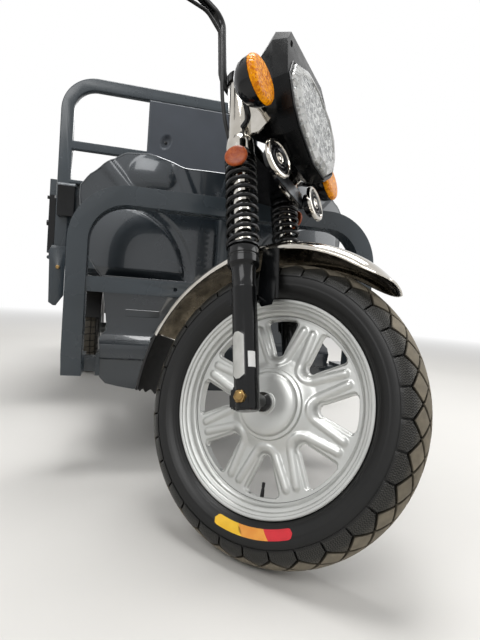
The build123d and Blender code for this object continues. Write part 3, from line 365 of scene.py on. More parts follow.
def thicken(bm, height):
    """Flat faces in XY, thickened upwards."""
    made = bmesh.ops.extrude_face_region(bm, geom=bm.faces[:])
    raised = [v for v in made["geom"] if isinstance(v, bmesh.types.BMVert)]
    bmesh.ops.translate(bm, verts=raised, vec=(0, 0, height))
    bmesh.ops.recalc_face_normals(bm, faces=bm.faces)


def join_rings(bm, rings, closed_path, closed_rings):
    """Quads between neighbouring rows of vertices."""
    count, wide = len(rings), len(rings[0])
    for i in range(count if closed_path else count - 1):
        here, there = rings[i], rings[(i + 1) % count]
        for j in range(wide if closed_rings else wide - 1):
            k = (j + 1) % wide
            bm.faces.new((here[j], here[k], there[k], there[j]))


def turned(outline, steps=48, closed=False):
    """An outline of (along, radius) turned about X."""
    bm = bmesh.new()
    rings = []
    for i in range(steps):
        a = 2 * math.pi * i / steps
        rings.append([bm.verts.new((x, r * math.cos(a), r * math.sin(a))) for x, r in outline])
    join_rings(bm, rings, True, closed)
    bmesh.ops.remove_doubles(bm, verts=bm.verts, dist=0.001)
    return bm


def bar(path, section, closed=False, up=None):
    """A section of (across, up) points swept along a path."""
    path = [Vector(p) for p in path]
    count = len(path)
    bm = bmesh.new()
    rings = []
    side = None
    for i, point in enumerate(path):
        before = path[(i - 1) % count] if closed or i else point
        after = path[(i + 1) % count] if closed or i < count - 1 else point
        along = (after - before).normalized()
        if up is not None:
            side = along.cross(Vector(up)).normalized()
        elif side is None:
            side = along.orthogonal().normalized()
        else:
            side = (side - along * side.dot(along)).normalized()
        rise = side.cross(along).normalized()
        rings.append([bm.verts.new(point + side * a + rise * b) for a, b in section])
    join_rings(bm, rings, closed, True)
    if not closed:
        bm.faces.new(rings[0][::-1])
        bm.faces.new(rings[-1])
    return bm


def plate(outline, thick, bevel, segments=2):
    """A flat outline in XY, thickened upwards, its rims eased."""
    bm = face_of([(u, v, 0) for u, v in outline])
    thicken(bm, thick)
    rims = [e for e in bm.edges if abs(e.verts[0].co.z - e.verts[1].co.z) < 1e-6]
    bmesh.ops.bevel(bm, geom=rims, offset=bevel, segments=segments, affect="EDGES", clamp_overlap=True)
    return bm


def block(x0, x1, y0, y1, z0, z1, bevel, segments=2):
    """A moulded block with eased edges."""
    bm = bmesh.new()
    bmesh.ops.create_cube(bm, size=1)
    bm.transform(at((x0 + x1) / 2, (y0 + y1) / 2, (z0 + z1) / 2)
                 @ Matrix.Diagonal((abs(x1 - x0), abs(y1 - y0), abs(z1 - z0), 1)))
    bmesh.ops.bevel(bm, geom=bm.edges[:], offset=bevel, segments=segments, affect="EDGES", clamp_overlap=True)
    return bm


def sheet(rows, thick=0.0, closed_rows=False):
    """A grid of points made a skin, with a second skin a given depth below it and a rim between them."""
    bm = bmesh.new()
    join_rings(bm, [[bm.verts.new(p) for p in row] for row in rows], False, closed_rows)
    if thick:
        bm.normal_update()
        bmesh.ops.solidify(bm, geom=bm.faces[:], thickness=thick)
    return bm


def shell(outer, inner):
    """Two grids of points as one closed wall, its inner skin marked for the second finish."""
    bm = sheet([a + b[::-1] for a, b in zip(outer, inner)], closed_rows=True)
    wide = len(outer[0])
    for number, face in enumerate(bm.faces):
        face.material_index = 1 if number % (2 * wide) >= wide else 0
    bm.verts.ensure_lookup_table()
    for row in (0, len(outer) - 1):
        ring = bm.verts[row * 2 * wide:(row + 1) * 2 * wide]
        for k in range(wide - 1):
            bm.faces.new((ring[k], ring[k + 1], ring[2 * wide - 2 - k], ring[2 * wide - 1 - k]))
    return bm


def hexagon(radius, thick):
    """A hexagon nut along X with chamfered corners."""
    inner = radius * 0.86
    half = ((0, 0), (0, inner), (0.12 * thick, radius))
    rows = [[(x, *polar(r, 60 * i)) for i in range(6)] for x, r in (*half, *((thick - x, r) for x, r in half[::-1]))]
    bm = sheet(rows, closed_rows=True)
    bmesh.ops.remove_doubles(bm, verts=bm.verts, dist=0.001)
    return bm


def as_mesh(name, bm):
    mesh = bpy.data.meshes.new(name)
    bm.to_mesh(mesh)
    bm.free()
    return mesh


def put(whole, part, place=Matrix(), finish=0):
    """Adds a part to a piece, in its place and with its finish, or with the finishes it has."""
    part.transform(place)
    if finish is not None:
        for face in part.faces:
            face.material_index = finish
    mesh = as_mesh("part", part)
    whole.from_mesh(mesh)
    bpy.data.meshes.remove(mesh)


def dress(mesh, finishes, sharp):
    """The mesh's finishes, and smooth faces with the edges beyond an angle kept sharp."""
    for finish in finishes:
        mesh.materials.append(MATERIALS[finish])
    mesh.polygons.foreach_set("use_smooth", [True] * len(mesh.polygons))
    mesh.set_sharp_from_angle(angle=math.radians(sharp))


def settle(obj, body, node=None):
    """The piece rides on its body and stands for the CAD node."""
    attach(obj, body)
    if node:
        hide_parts(node)


def modify(obj, kind, **settings):
    modifier = obj.modifiers.new(kind.lower(), kind)
    for key, value in settings.items():
        setattr(modifier, key, value)
    return modifier


def baked(obj):
    """The object's modifiers worked into its mesh and taken off."""
    graph = bpy.context.evaluated_depsgraph_get()
    graph.update()
    mesh = bpy.data.meshes.new_from_object(
        obj.evaluated_get(graph), preserve_all_data_layers=True, depsgraph=graph)
    obj.modifiers.clear()
    obj.data = mesh
    mesh.name = obj.name


def piece(name, bm, finishes, body, node=None, sharp=35):
    """A bmesh in millimetres, in its body's own frame, becomes a piece."""
    bmesh.ops.remove_doubles(bm, verts=bm.verts, dist=0.004)
    bmesh.ops.dissolve_degenerate(bm, dist=0.0005, edges=bm.edges)
    bmesh.ops.recalc_face_normals(bm, faces=bm.faces)
    bm.transform(METRES @ PLACES[body])
    mesh = as_mesh(name, bm)
    dress(mesh, finishes, sharp)
    settle(placed(name, mesh), body, node)


def detailed(node, bm, finishes, body, sharp=35):
    """A piece that stands for the CAD node that it is named after."""
    piece(node + "_detailed", bm, finishes, body, node, sharp)


def softened(node, finish, width, segments, body="chassis", angle=35):
    """A copy of a flat-sided CAD node, merged and with its edges rounded, that stands for it."""
    bm = bmesh.new()
    bm.from_mesh(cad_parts[node].data)
    for face in bm.faces:
        face.material_index = 0
    bmesh.ops.remove_doubles(bm, verts=bm.verts, dist=0.00002)
    bmesh.ops.dissolve_limit(bm, angle_limit=math.radians(2), verts=bm.verts, edges=bm.edges)
    obj = placed(node + "_detailed", as_mesh(node + "_detailed", bm))
    modify(obj, "BEVEL", width=width * MM, segments=segments, limit_method="ANGLE", angle_limit=math.radians(angle))
    baked(obj)
    dress(obj.data, [finish], 40)
    settle(obj, body, node)


# Repeats: copies of one part at the vertices of a carrier mesh, each turned by its own "turn" angles

def copies_tree():
    tree = bpy.data.node_groups.new("copies_at_points", "GeometryNodeTree")
    socket = tree.interface.new_socket
    socket(name="Spots", in_out="INPUT", socket_type="NodeSocketGeometry")
    part = socket(name="Part", in_out="INPUT", socket_type="NodeSocketObject").identifier
    socket(name="Copies", in_out="OUTPUT", socket_type="NodeSocketGeometry")
    given = add(tree, "NodeGroupInput").outputs
    source = add(tree, "GeometryNodeObjectInfo", {"Object": given["Part"]}, transform_space="ORIGINAL")
    angles = add(tree, "GeometryNodeInputNamedAttribute", {"Name": "turn"}, data_type="FLOAT_VECTOR")
    spread_out = add(tree, "GeometryNodeInstanceOnPoints", {
        "Points": given["Spots"], "Instance": source.outputs["Geometry"], "Rotation": angles.outputs["Attribute"]})
    real = add(tree, "GeometryNodeRealizeInstances", {"Geometry": spread_out})
    add(tree, "NodeGroupOutput", {"Copies": real})
    return tree, part


COPIES, COPIES_PART = copies_tree()


def mark(mesh, label, values, kind="FLOAT"):
    """An attribute with a value at each vertex."""
    layer = mesh.attributes.new(label, kind, "POINT")
    layer.data.foreach_set("vector" if kind == "FLOAT_VECTOR" else "value", values)


def copies(name, part, spots, finish, body, sharp=35, marks=()):
    """Copies of a part at spots of (place, turn in degrees), in millimetres and in the body's own frame."""
    bmesh.ops.recalc_face_normals(part, faces=part.faces)
    model = placed("part", as_mesh("part", part))
    for given in marks:
        mark(model.data, *given)
    carrier = bpy.data.meshes.new(name)
    carrier.from_pydata([spot for spot, _ in spots], [], [])
    mark(carrier, "turn", [math.radians(a) for _, angles in spots for a in angles], "FLOAT_VECTOR")
    obj = placed(name, carrier)
    modify(obj, "NODES", node_group=COPIES)[COPIES_PART] = model
    baked(obj)
    bpy.data.objects.remove(model)
    obj.data.transform(METRES @ PLACES[body])
    # The copies bring an empty material place with them.
    obj.data.materials.clear()
    dress(obj.data, [finish], sharp)
    settle(obj, body)


def round_axle(count, start=0.0):
    """Spots for a count of copies round the axle, each turned by its own share of the circle."""
    return [((0, 0, 0), (360.0 * k / count + start, 0, 0)) for k in range(count)]


# Tyres: a carcass with blocks laid over it. Places on them are distances round the wheel (s) and across it (t).

def tyre(radius, half, crown, bead, rim_half, edge, groove):
    """A tyre's sizes, with its outside from the crown to the bead as (x, r) and the distances along it."""
    x = half * 0.86
    shoulder = radius - crown + math.sqrt(crown ** 2 - x ** 2)
    bulge = bead + 0.42 * (radius - bead)
    line = [(0.0, radius)]
    for i in range(1, 25):
        a = math.asin(x / crown) * i / 24
        line.append((crown * math.sin(a), radius - crown + crown * math.cos(a)))
    line += arc_through((x, shoulder), (half, bulge), (rim_half, bead + 2.3), 26)
    far = [0.0]
    for a, b in zip(line, line[1:]):
        far.append(far[-1] + math.dist(a, b))
    return {"radius": radius, "edge": edge, "groove": groove, "line": line, "far": far}


FRONT_TYRE = tyre(radius=302.0, half=55.0, crown=62.0, bead=214.0, rim_half=34.0, edge=73.0, groove=7.5)
REAR_TYRE = tyre(radius=REAR_R, half=61.0, crown=90.0, bead=160.0, rim_half=44.0, edge=70.0, groove=6.5)
# The blocks stand at full height up to FADE_IN inside the tread's edge, and run out FADE_OUT beyond it.
FADE_IN, FADE_OUT = 14, 3
# Blocks are cut into a grid, so that they bend round the tyre.
CUT_S, CUTS_T = 9.0, range(-66, 67, 6)


def on_profile(shape, t, height):
    """The point a distance t from the crown, raised by height."""
    line, far = shape["line"], shape["far"]
    s = abs(t)
    i = 0
    while i < len(far) - 2 and far[i + 1] < s:
        i += 1
    f = (s - far[i]) / (far[i + 1] - far[i])
    (x0, r0), (x1, r1) = line[i], line[i + 1]
    dx, dr = x1 - x0, r1 - r0
    length = math.hypot(dx, dr)
    x = x0 + f * dx - dr / length * height
    r = r0 + f * dr + dx / length * height
    return (math.copysign(x, t), r)


def shrunk(outline, gaps):
    """A convex outline with each edge moved in by its own gap."""
    area = sum(a[0] * b[1] - b[0] * a[1] for a, b in zip(outline, outline[1:] + outline[:1]))
    if area < 0:
        outline = outline[::-1]
        gaps = gaps[-2::-1] + gaps[-1:]
    lines = []
    for a, b, gap in zip(outline, outline[1:] + outline[:1], gaps):
        along = (Vector(b) - Vector(a)).normalized()
        lines.append((Vector(a) + Vector((-along.y, along.x)) * gap, along))
    found = []
    for i, (q, e) in enumerate(lines):
        p, d = lines[i - 1]
        t = ((q - p).x * e.y - (q - p).y * e.x) / (d.x * e.y - d.y * e.x)
        found.append(tuple(p + d * t))
    return found


def tread_block(outline, shape, cuts):
    """A block over an outline of (s, t), laid on the tyre, with its vertices' flat places and share of height."""
    deep, edge = shape["groove"], shape["edge"]
    bm = face_of([(s, t, 0) for s, t in outline])
    for normal, values in (((1, 0, 0), cuts), ((0, 1, 0), CUTS_T)):
        for value in values:
            bmesh.ops.bisect_plane(bm, geom=bm.verts[:] + bm.edges[:] + bm.faces[:],
                                   plane_co=Vector(normal) * value, plane_no=normal)
    thicken(bm, deep)
    rim = [e for e in bm.edges if all(v.co.z > 0.5 * deep for v in e.verts)
           and any(abs(f.normal.z) < 0.5 for f in e.link_faces)]
    bmesh.ops.bevel(bm, geom=rim, offset=0.9, offset_type="WIDTH", segments=1, affect="EDGES")
    flat = []
    for v in bm.verts:
        s, t, h = v.co.x, v.co.y, v.co.z / deep
        flat.append((s, t, h))
        fade = 1.0 - smooth_step(edge - FADE_IN, edge + FADE_OUT, abs(t))
        x, r = on_profile(shape, t, -deep * (1 - h) * fade - (1 - fade) * 0.3 * (1 - h) - 0.05)
        a = s / shape["radius"]
        v.co = (x, r * math.sin(a), r * math.cos(a))
    return bm, flat


def lay_tread(name, body, shape, pitches, blocks, worn, hatched=None):
    """Blocks of one pitch, each with its cuts round the wheel and its dust, repeated round the tyre."""
    unit = bmesh.new()
    flat = []
    for outline, cuts, dusty in blocks:
        part, spots = tread_block(outline, shape, cuts)
        flat += [(*spot, dusty) for spot in spots]
        put(unit, part)
    marks = [("worn", [worn(*spot) for spot in flat])]
    if hatched:
        marks.append(("hatched", [hatched(*spot) for spot in flat]))
        marks.append(("hatch", [c for s, t, *_ in flat for c in (s, abs(t), 0)], "FLOAT_VECTOR"))
    copies(name, unit, round_axle(pitches), "tyre_rubber_tread", body, 30, marks)


def lay_carcass(name, body, shape, node, sizes, lines, foot, ledge=0.0):
    """The tyre under its blocks, in (points across, steps round), with fine lines sunk in its wall."""
    edge, total = shape["edge"], shape["far"][-1]
    outline = []
    for t in spread(-total, total, sizes[0]):
        s = abs(t)
        depth = -shape["groove"] * (1 - smooth_step(edge - FADE_IN, edge + FADE_OUT, s))
        depth -= ledge * smooth_step(edge - 3, edge, s) * (1 - smooth_step(edge + 16, edge + 20, s))
        for place, deep, wide in lines:
            depth -= deep * max(0.0, 1 - abs(s - place) / wide)
        outline.append(on_profile(shape, t, depth))
    outline += mirrored(foot)
    piece(name, turned(outline, sizes[1], closed=True), ["tyre_rubber_plain"], body, node, 40)


# Front tyre: rows of diamond blocks between rows of cut shoulder blocks

PITCHES = 32
NODE_T, ROW_T, GROOVE = 52.5, 21.0, 5.0


def front_worn(s, t, h, dusty):
    """The blocks that meet the road are dusty on top; the shoulder blocks stay black."""
    tread = dusty * (1 - 0.5 * smooth_step(42, 52, abs(t)))
    return smooth_step(0.8, 1.0, h) * (tread + (1 - dusty) * 0.2 * (1 - smooth_step(38, 50, abs(t))))


def front_hatched(s, t, h, dusty):
    return (1 - dusty) * smooth_step(0.85, 1.0, h) * (1 - smooth_step(65, 70, abs(t)))


def make_front_tyre():
    pitch = 2 * math.pi * FRONT_TYRE["radius"] / PITCHES
    half, gap = pitch / 2, GROOVE / 2
    outlines = []
    for row in (1, 2, 3, 4):
        t = row * ROW_T - NODE_T
        s = 0.0 if row % 2 else half
        outlines.append(([(s - half, t), (s, t - ROW_T), (s + half, t), (s, t + ROW_T)], [gap] * 4, 1.0))
    for side in (-1, 1):
        a = 0.0 if side < 0 else half
        v, n, e = (side * t for t in (NODE_T - ROW_T, NODE_T, FRONT_TYRE["edge"]))
        outlines.append(([(a, n), (a + half, v), (a + pitch, n), (a + pitch, e), (a, e)],
                         [gap, gap, gap * 0.8, 0.0, gap * 0.8], 0.0))
    blocks = []
    for outline, gaps, dusty in outlines:
        outline = shrunk(outline, gaps)
        middle = sum(p[0] for p in outline) / len(outline)
        blocks.append((outline, [middle + k * CUT_S for k in range(-2, 3)], dusty))
    lay_tread("front_tread", "front_wheel", FRONT_TYRE, PITCHES, blocks, front_worn, front_hatched)
    total, edge = FRONT_TYRE["far"][-1], FRONT_TYRE["edge"]
    lines = ((total - 9, 0.8, 1.2), (total - 14, 0.7, 1.0), (edge + 24, 0.6, 1.0))
    foot = [(33.8, 214.5), (33.8, 208.3), (0, 208.3)]
    lay_carcass("front_carcass", "front_wheel", FRONT_TYRE, "front_tyre", (150, 160), lines, foot, ledge=0.9)


make_front_tyre()


# Front wheel: turned barrel and hub with a cast disc of eight twin-ribbed spokes

SPOKES, SPOKE_TURN = 8, 33.5
SPOKE_HALF = math.pi / SPOKES
WINDOW_IN, WINDOW_OUT = 100.0, 178.0
WINDOW_END, WINDOW_CORNER, WINDOW_FLARE = 11.5, 9.0, 0.4
WINDOW_MIDDLE = WINDOW_IN + WINDOW_END
# The spoke's flange stands this far from the wheel's middle, its body rises above it, and the ribs above the body.
FLANGE_X, BODY_HIGH, RIB_HIGH, RIB_HALF = 5.5, 4.3, 5.4, 9.2
HUB_RISE = 13.0
# Seen along the axle, with x along the spoke: a rib's outer end, the middle of an opening's inner end, and the ring
# that the rib follows round it. The rib's straight run leaves that ring on a tangent.
RIB_TIP, RIB_RING = Vector((163.0, 11.0)), 26.0
OPENING = WINDOW_MIDDLE * Vector((math.cos(SPOKE_HALF), math.sin(SPOKE_HALF)))
RIB_LENGTH = math.sqrt((OPENING - RIB_TIP).length ** 2 - RIB_RING ** 2)
RIB_LEAN = math.atan2(*reversed(OPENING - RIB_TIP)) + math.asin(RIB_RING / (OPENING - RIB_TIP).length)
RIB_RUN = Vector((math.cos(RIB_LEAN), math.sin(RIB_LEAN)))


def window_half(r):
    """Half the width of the opening between two spokes, at a distance r from the axle."""
    if r < WINDOW_MIDDLE:
        return math.sqrt(max(0.0, WINDOW_END ** 2 - (WINDOW_MIDDLE - r) ** 2))
    wide = WINDOW_END + (r - WINDOW_MIDDLE) * WINDOW_FLARE
    into = r - WINDOW_OUT + WINDOW_CORNER
    if into > 0:
        wide -= WINDOW_CORNER - math.sqrt(max(0.0, WINDOW_CORNER ** 2 - into ** 2))
    return wide


def off_rib(spot):
    """How far a spot of the spoke lies from the middle line of its rib."""
    away = spot - RIB_TIP
    along = away.dot(RIB_RUN)
    if along > RIB_LENGTH:
        return abs((spot - OPENING).length - RIB_RING)
    return math.hypot(away.x * RIB_RUN.y - away.y * RIB_RUN.x, min(0.0, along))


def spoke_face(r, share):
    """The front of a spoke at r, share from -1 to 1 across it: a flange, a raised body and the rounded ribs."""
    half = window_half(min(r, WINDOW_OUT))
    angle = share * (SPOKE_HALF - half / r)
    gap = (SPOKE_HALF - abs(angle)) * r
    edge = math.hypot(gap, WINDOW_MIDDLE - r) - WINDOW_END if r < WINDOW_MIDDLE else gap - half
    # A rib runs round the inner end of each opening, then up both spokes beside it, where two ribs draw together.
    away = off_rib(r * Vector((math.cos(angle), math.sin(abs(angle)))))
    rib = RIB_HIGH * max(0.0, 1 - (away / RIB_HALF) ** 2) ** 0.9 * smooth_step(68, 84, r)
    x = FLANGE_X + BODY_HIGH * smooth_step(2.0, 6.0, edge) + rib
    x += HUB_RISE * (1 - smooth_step(66, 100, r)) - (1 - smooth_step(0.0, 1.4, edge))
    return Vector((x, -r * math.sin(angle), r * math.cos(angle)))


def make_spokes():
    distances = [66 + 2 * i for i in range(17)] + [99.4]
    distances += [WINDOW_IN + WINDOW_END * (1 - math.cos(math.radians(10 * i))) for i in range(10)]
    distances += [WINDOW_MIDDLE + 3.2 * i for i in range(1, 18)]
    distances += [WINDOW_OUT - WINDOW_CORNER + WINDOW_CORNER * math.sin(math.radians(18 * i)) for i in range(6)]
    distances.append(182)
    shares = [math.copysign(1 - (1 - abs(k) / 20) ** 1.2, k) for k in range(-20, 21)]
    front = [[spoke_face(r, share) for share in shares] for r in distances]
    flip = Matrix.Diagonal((-1, 1, 1, 1))
    spoke = bmesh.new()
    put(spoke, sheet(front))
    put(spoke, sheet([[flip @ p for p in row] for row in front]))
    opening = [row for row, r in zip(front, distances) if WINDOW_IN <= r <= WINDOW_OUT]
    for end in (0, -1):
        put(spoke, sheet([[row[end].lerp(flip @ row[end], i / 3) for i in range(4)] for row in opening]))
    bmesh.ops.remove_doubles(spoke, verts=spoke.verts, dist=0.004)
    copies("front_spokes", spoke, round_axle(SPOKES, SPOKE_TURN), "silver_wheel_paint", "front_wheel",
           42)


def make_front_rim():
    rim = bmesh.new()
    hub = [(46, 0), (46, 18.5), (45.4, 20.4), (43.6, 21.2), (41.4, 21.6), (40.6, 23), (40.4, 26), (40.2, 40),
           (39.6, 50), (38.2, 57), (36.6, 60.4), (34.2, 62.8), (31.2, 64.2), (29.0, 65.0), (28.2, 66.4),
           (27.9, 68.4), (27.0, 70.6), (23.6, 72.4), (14, 73.2)]
    put(rim, turned(mirrored(hub), 96))
    put(rim, turned(mirrored([(8.6, 179.8), (9.5, 180.6), (9.9, 182.0), (9.9, 186.6)]), 128, closed=True))
    # Painted shade: a black ring stands for the shadow in the gap between the disc and the barrel
    put(rim, turned(mirrored([(10.2, 186.0), (10.2, 188.6)]), 128, closed=True), finish=1)
    inside = [(38, 214.2), (38, 211.2), (37.3, 209.6), (35.6, 208.9), (34.4, 208.1), (33.8, 206.6), (33.2, 204.4),
              (31.8, 203.0), (29.6, 202.4), (28.2, 201.4), (27.4, 199.4), (26.6, 196.4), (25, 194.6), (21.6, 193.4),
              (19, 191.8), (17.2, 189.6), (15.9, 187.7), (14.2, 187.2), (13.2, 187.9), (12.4, 189.2), (11.6, 187.4),
              (9.8, 186.4), (8, 187)]
    outside = [(11, 197.5), (17, 207.5), (34, 207.9), (34.1, 215.6), (35.2, 216.0), (37, 216.0)]
    ring = mirrored(inside) + [(-x, r) for x, r in reversed(outside)] + outside
    put(rim, turned(ring, 128, closed=True))
    piece("front_wheel_casting", rim, ["silver_wheel_paint", "moulded_rubber"], "front_wheel",
          "front_rim", 24)
    # Valve stem in the lowest window
    stem = turned([(0, 3.4), (3, 4.2), (20, 3.4), (24, 2.6), (26, 3.2), (34, 3.2), (35, 0)], 14)
    valve = bmesh.new()
    put(valve, stem, turn(-168.5, "X") @ at(0, 0, 187) @ turn(90, "Y"))
    piece("front_valve", valve, ["moulded_rubber"], "front_wheel")


make_spokes()
make_front_rim()


# Printed stripe on the tyre's wall: yellow, orange and red with rounded ends, between these angles in degrees

STRIPE_R, STRIPE_HALF, STRIPE_SLANT = 237.5, 9.2, 1.6
STRIPE_STOPS = (-118.0, -104.0, -91.0, -78.0)
FILM = 0.12


def wall_x(r):
    """How far out the side wall stands at a distance r from the axle."""
    line = FRONT_TYRE["line"][25:]
    for (x0, r0), (x1, r1) in zip(line, line[1:]):
        if r1 <= r <= r0:
            return x0 + (x1 - x0) * (r0 - r) / (r0 - r1)
    return line[-1][0]


def stripe_point(angle, across):
    round_end = math.degrees(STRIPE_HALF / STRIPE_R)
    near_end = clamp(min(angle - STRIPE_STOPS[0], STRIPE_STOPS[-1] - angle) / round_end)
    r = STRIPE_R + STRIPE_HALF * across * math.sqrt(max(0.0, 1 - (1 - near_end) ** 2))
    y, z = polar(r, angle)
    return Vector((-wall_x(r) - 0.5, -y, z))


def make_stripe():
    bm = bmesh.new()
    for finish, (start, stop) in enumerate(zip(STRIPE_STOPS, STRIPE_STOPS[1:])):
        columns = []
        for across in spread(-1, 1, 6):
            slant = STRIPE_SLANT * across
            ends = start + (slant if finish else 0.0), stop + (slant if finish < 2 else 0.0)
            columns.append([stripe_point(angle, across) for angle in spread(*ends, 14)])
        put(bm, sheet(list(zip(*columns)), FILM), finish=finish)
    piece("tyre_stripe", bm, ["stripe_yellow", "stripe_orange", "stripe_red"], "front_wheel", sharp=60)


make_stripe()


# Axle, nuts and spacers

def make_axle():
    bm = bmesh.new()
    put(bm, turned([(-146, 0), (-146, 6.5), (-144, 8.5), (144, 8.5), (146, 6.5), (146, 0)], 24))
    spacer = [(46.5, 8.4), (46.5, 18), (49, 19.5), (54, 19.5), (57, 17), (60, 14.5), (92, 14), (93, 13), (93, 8.4)]
    for flip in (turn(180, "Z"), turn(0, "Z")):
        put(bm, hexagon(12.4, 10), flip @ at(132.6, 0, 0))
        put(bm, turned([(137, 0), (137, 9), (140.9, 12.4), (137.2, 12.4), (137, 0)], 8), flip)
        put(bm, turned(spacer, 28, closed=True), flip, finish=1)
    detailed("front_axle", bm, ["yellow_zinc", "gloss_black_lacquer"], "fork")


make_axle()


# Fork legs, springs and shrouds. Turned parts stand on a leg's own axis.

LEG = 112.0
LEG_R = 25.0
SPRING_LOW, SPRING_HIGH, WINDINGS = 308.0, 530.0, 10.4
COIL_R, WIRE_R = 31.0, 5.0


def on_legs(bm, outline, steps=48, closed=False):
    for side in (-1, 1):
        put(bm, turned(outline, steps, closed), at(side * LEG, 0, 0) @ UPRIGHT)


def make_legs():
    legs = bmesh.new()
    on_legs(legs, [
        (-24, 0), (-24, 20), (-22, 22.8), (-18, 24), (36, 24), (44, 25), (214, 25), (216, 25.8), (219, 25.8),
        (221, 25), (254, 25), (262, 26.5), (266, 30.5), (270, 33), (283, 33), (285, 31.6), (288, 31.6), (290, 33),
        (303, 33), (307, 31.4), (308, 27), (308, 18.8), (300, 0)], 56)
    for side in (-1, 1):
        place = at(side * LEG, 0, 0)
        put(legs, block(-17, 17, -22, 23, -22, 20, 5, 3), place @ at(side * 3, 3, 0))
        put(legs, block(-10, 10, 18, 34, -18, 10, 3), place)
        put(legs, block(-7, 7, 20, 33, 186, 226, 4), place)
    detailed("fork_legs", legs, ["gloss_black_lacquer"], "fork", 30)


def coil_point(f):
    """The middle of the spring's wire at a share f of its length, about the spring's axis."""
    # The turns sit closer towards the top of the spring, and lie down at both ends.
    rise = f + 0.07 * math.sin(math.pi * f) - 0.02 * math.sin(2 * math.pi * f)
    end = smooth_step(0.0, 0.06, f) * (1 - smooth_step(0.95, 1.0, f))
    up = (SPRING_HIGH - SPRING_LOW - 2 * WIRE_R) * rise
    if end <= 0.999 and f < 0.5:
        up *= 0.35 + 0.65 * end
    return (*polar(COIL_R, 360 * WINDINGS * f), SPRING_LOW + WIRE_R + up)


def make_springs():
    coils = bmesh.new()
    for side in (-1, 1):
        put(coils, bar([coil_point(f) for f in spread(0, 1, 360)], round_section(WIRE_R)), at(side * LEG, 0, 0))
    on_legs(coils, [(526, 18.7), (526, 33), (528, 34), (539, 34), (541, 32), (541, 18.7)], 40, closed=True)
    on_legs(coils, [(308, 18.7), (308, 35), (311, 35.6), (313, 34), (313, 18.7)], 40, closed=True)
    detailed("fork_springs", coils, ["gloss_black_lacquer"], "fork", 50)


def make_tubes():
    tubes = bmesh.new()
    on_legs(tubes, [(240, 0), (240, 18.5), (575, 18.5), (575.4, 19.5), (577, 20), (740, 20), (741.6, 19.5),
                    (742, 18.5), (766, 18.5), (767.5, 17.5), (768, 16), (768, 0)])
    detailed("fork_tubes", tubes, ["plated_chrome"], "fork", 30)


def leg_film(first, last, low, high, point, lift):
    """A film on the right leg between two angles and two heights, its ends drawn in over the last few mm."""
    middle, half = (first + last) / 2, (last - first) / 2
    rows = []
    for up in spread(low, high, 48):
        share = min(1.0, 0.3 + 0.7 * min(up - low, high - up) / point) if point else 1.0
        round_leg = (polar(LEG_R + lift, angle) for angle in spread(middle - half * share, middle + half * share, 10))
        rows.append([Vector((x - LEG, y, up)) for x, y in round_leg])
    return sheet(rows, FILM)


def make_leg_films():
    """A silver film with a dark border and pointed ends, and a small white one beside it."""
    films = bmesh.new()
    put(films, leg_film(132, 206, 31, 126, 8.0, 0.25))
    put(films, leg_film(136, 202, 33.4, 123.6, 7.6, 0.4), finish=1)
    put(films, leg_film(218, 253, 54, 84, 0.0, 0.3), finish=2)
    piece("leg_films", films, ["gloss_black_lacquer", "silver_film", "white_film"], "fork", sharp=60)


def make_sleeves():
    """Chrome sleeves over the tubes between the clamps, and half sleeves round the low clamp's ears."""
    bm = bmesh.new()
    on_legs(bm, [(577, 20.2), (577, 25.2), (578, 25.8), (739, 25.8), (740.5, 25), (740.5, 20.2)], closed=True)
    ear = [(541.2, 30.3), (542, 31.2), (560, 31.4), (574, 31.2), (575.6, 30.3)]
    for side in (-1, 1):
        rows = []
        for angle in spread(100, 300, 28):
            round_ear = ((*polar(r, angle), up) for up, r in ear)
            rows.append([Vector((side * (LEG - x), y, up)) for x, y, up in round_ear])
        put(bm, sheet(rows, 0.5))
    piece("fork_sleeves", bm, ["plated_chrome"], "fork", sharp=30)


make_legs()
make_springs()
make_tubes()
make_leg_films()
make_sleeves()


# Front fender with rolled edges, a rounded nose and stays, and the toothed rubber flap behind it

CROWN, SKIRT, FENDER_HALF = 345.0, 318.0, 70.0
FENDER_FIRST, FENDER_LAST, FENDER_NOSE = -54.0, 56.0, 13.0
FLAP_LAST, FLAP_TEETH = 80.0, 9


def fender_point(angle, share, inset=0.0, drop=0.0):
    """A point on the fender: angle in degrees back from upright, share from -1 to 1 round its deep-sided section."""
    lean = share * math.pi / 2
    x = math.copysign(abs(math.sin(lean)) ** 0.8 * (FENDER_HALF - inset), share)
    r = SKIRT - drop + (CROWN - SKIRT - inset) * max(0.0, math.cos(lean)) ** 0.8
    z, y = polar(r, angle)
    return Vector((x, y, z))


def fender_skin(inset):
    rows = []
    for angle in spread(FENDER_FIRST, FENDER_LAST, 76):
        nose = max(0.0, (FENDER_FIRST + FENDER_NOSE - angle) / FENDER_NOSE)
        narrow = math.sqrt(max(0.0, 1 - (0.93 * nose) ** 2.4))
        rows.append([fender_point(angle, share * narrow, inset, 5.0 * nose * nose) for share in spread(-1, 1, 28)])
    return rows


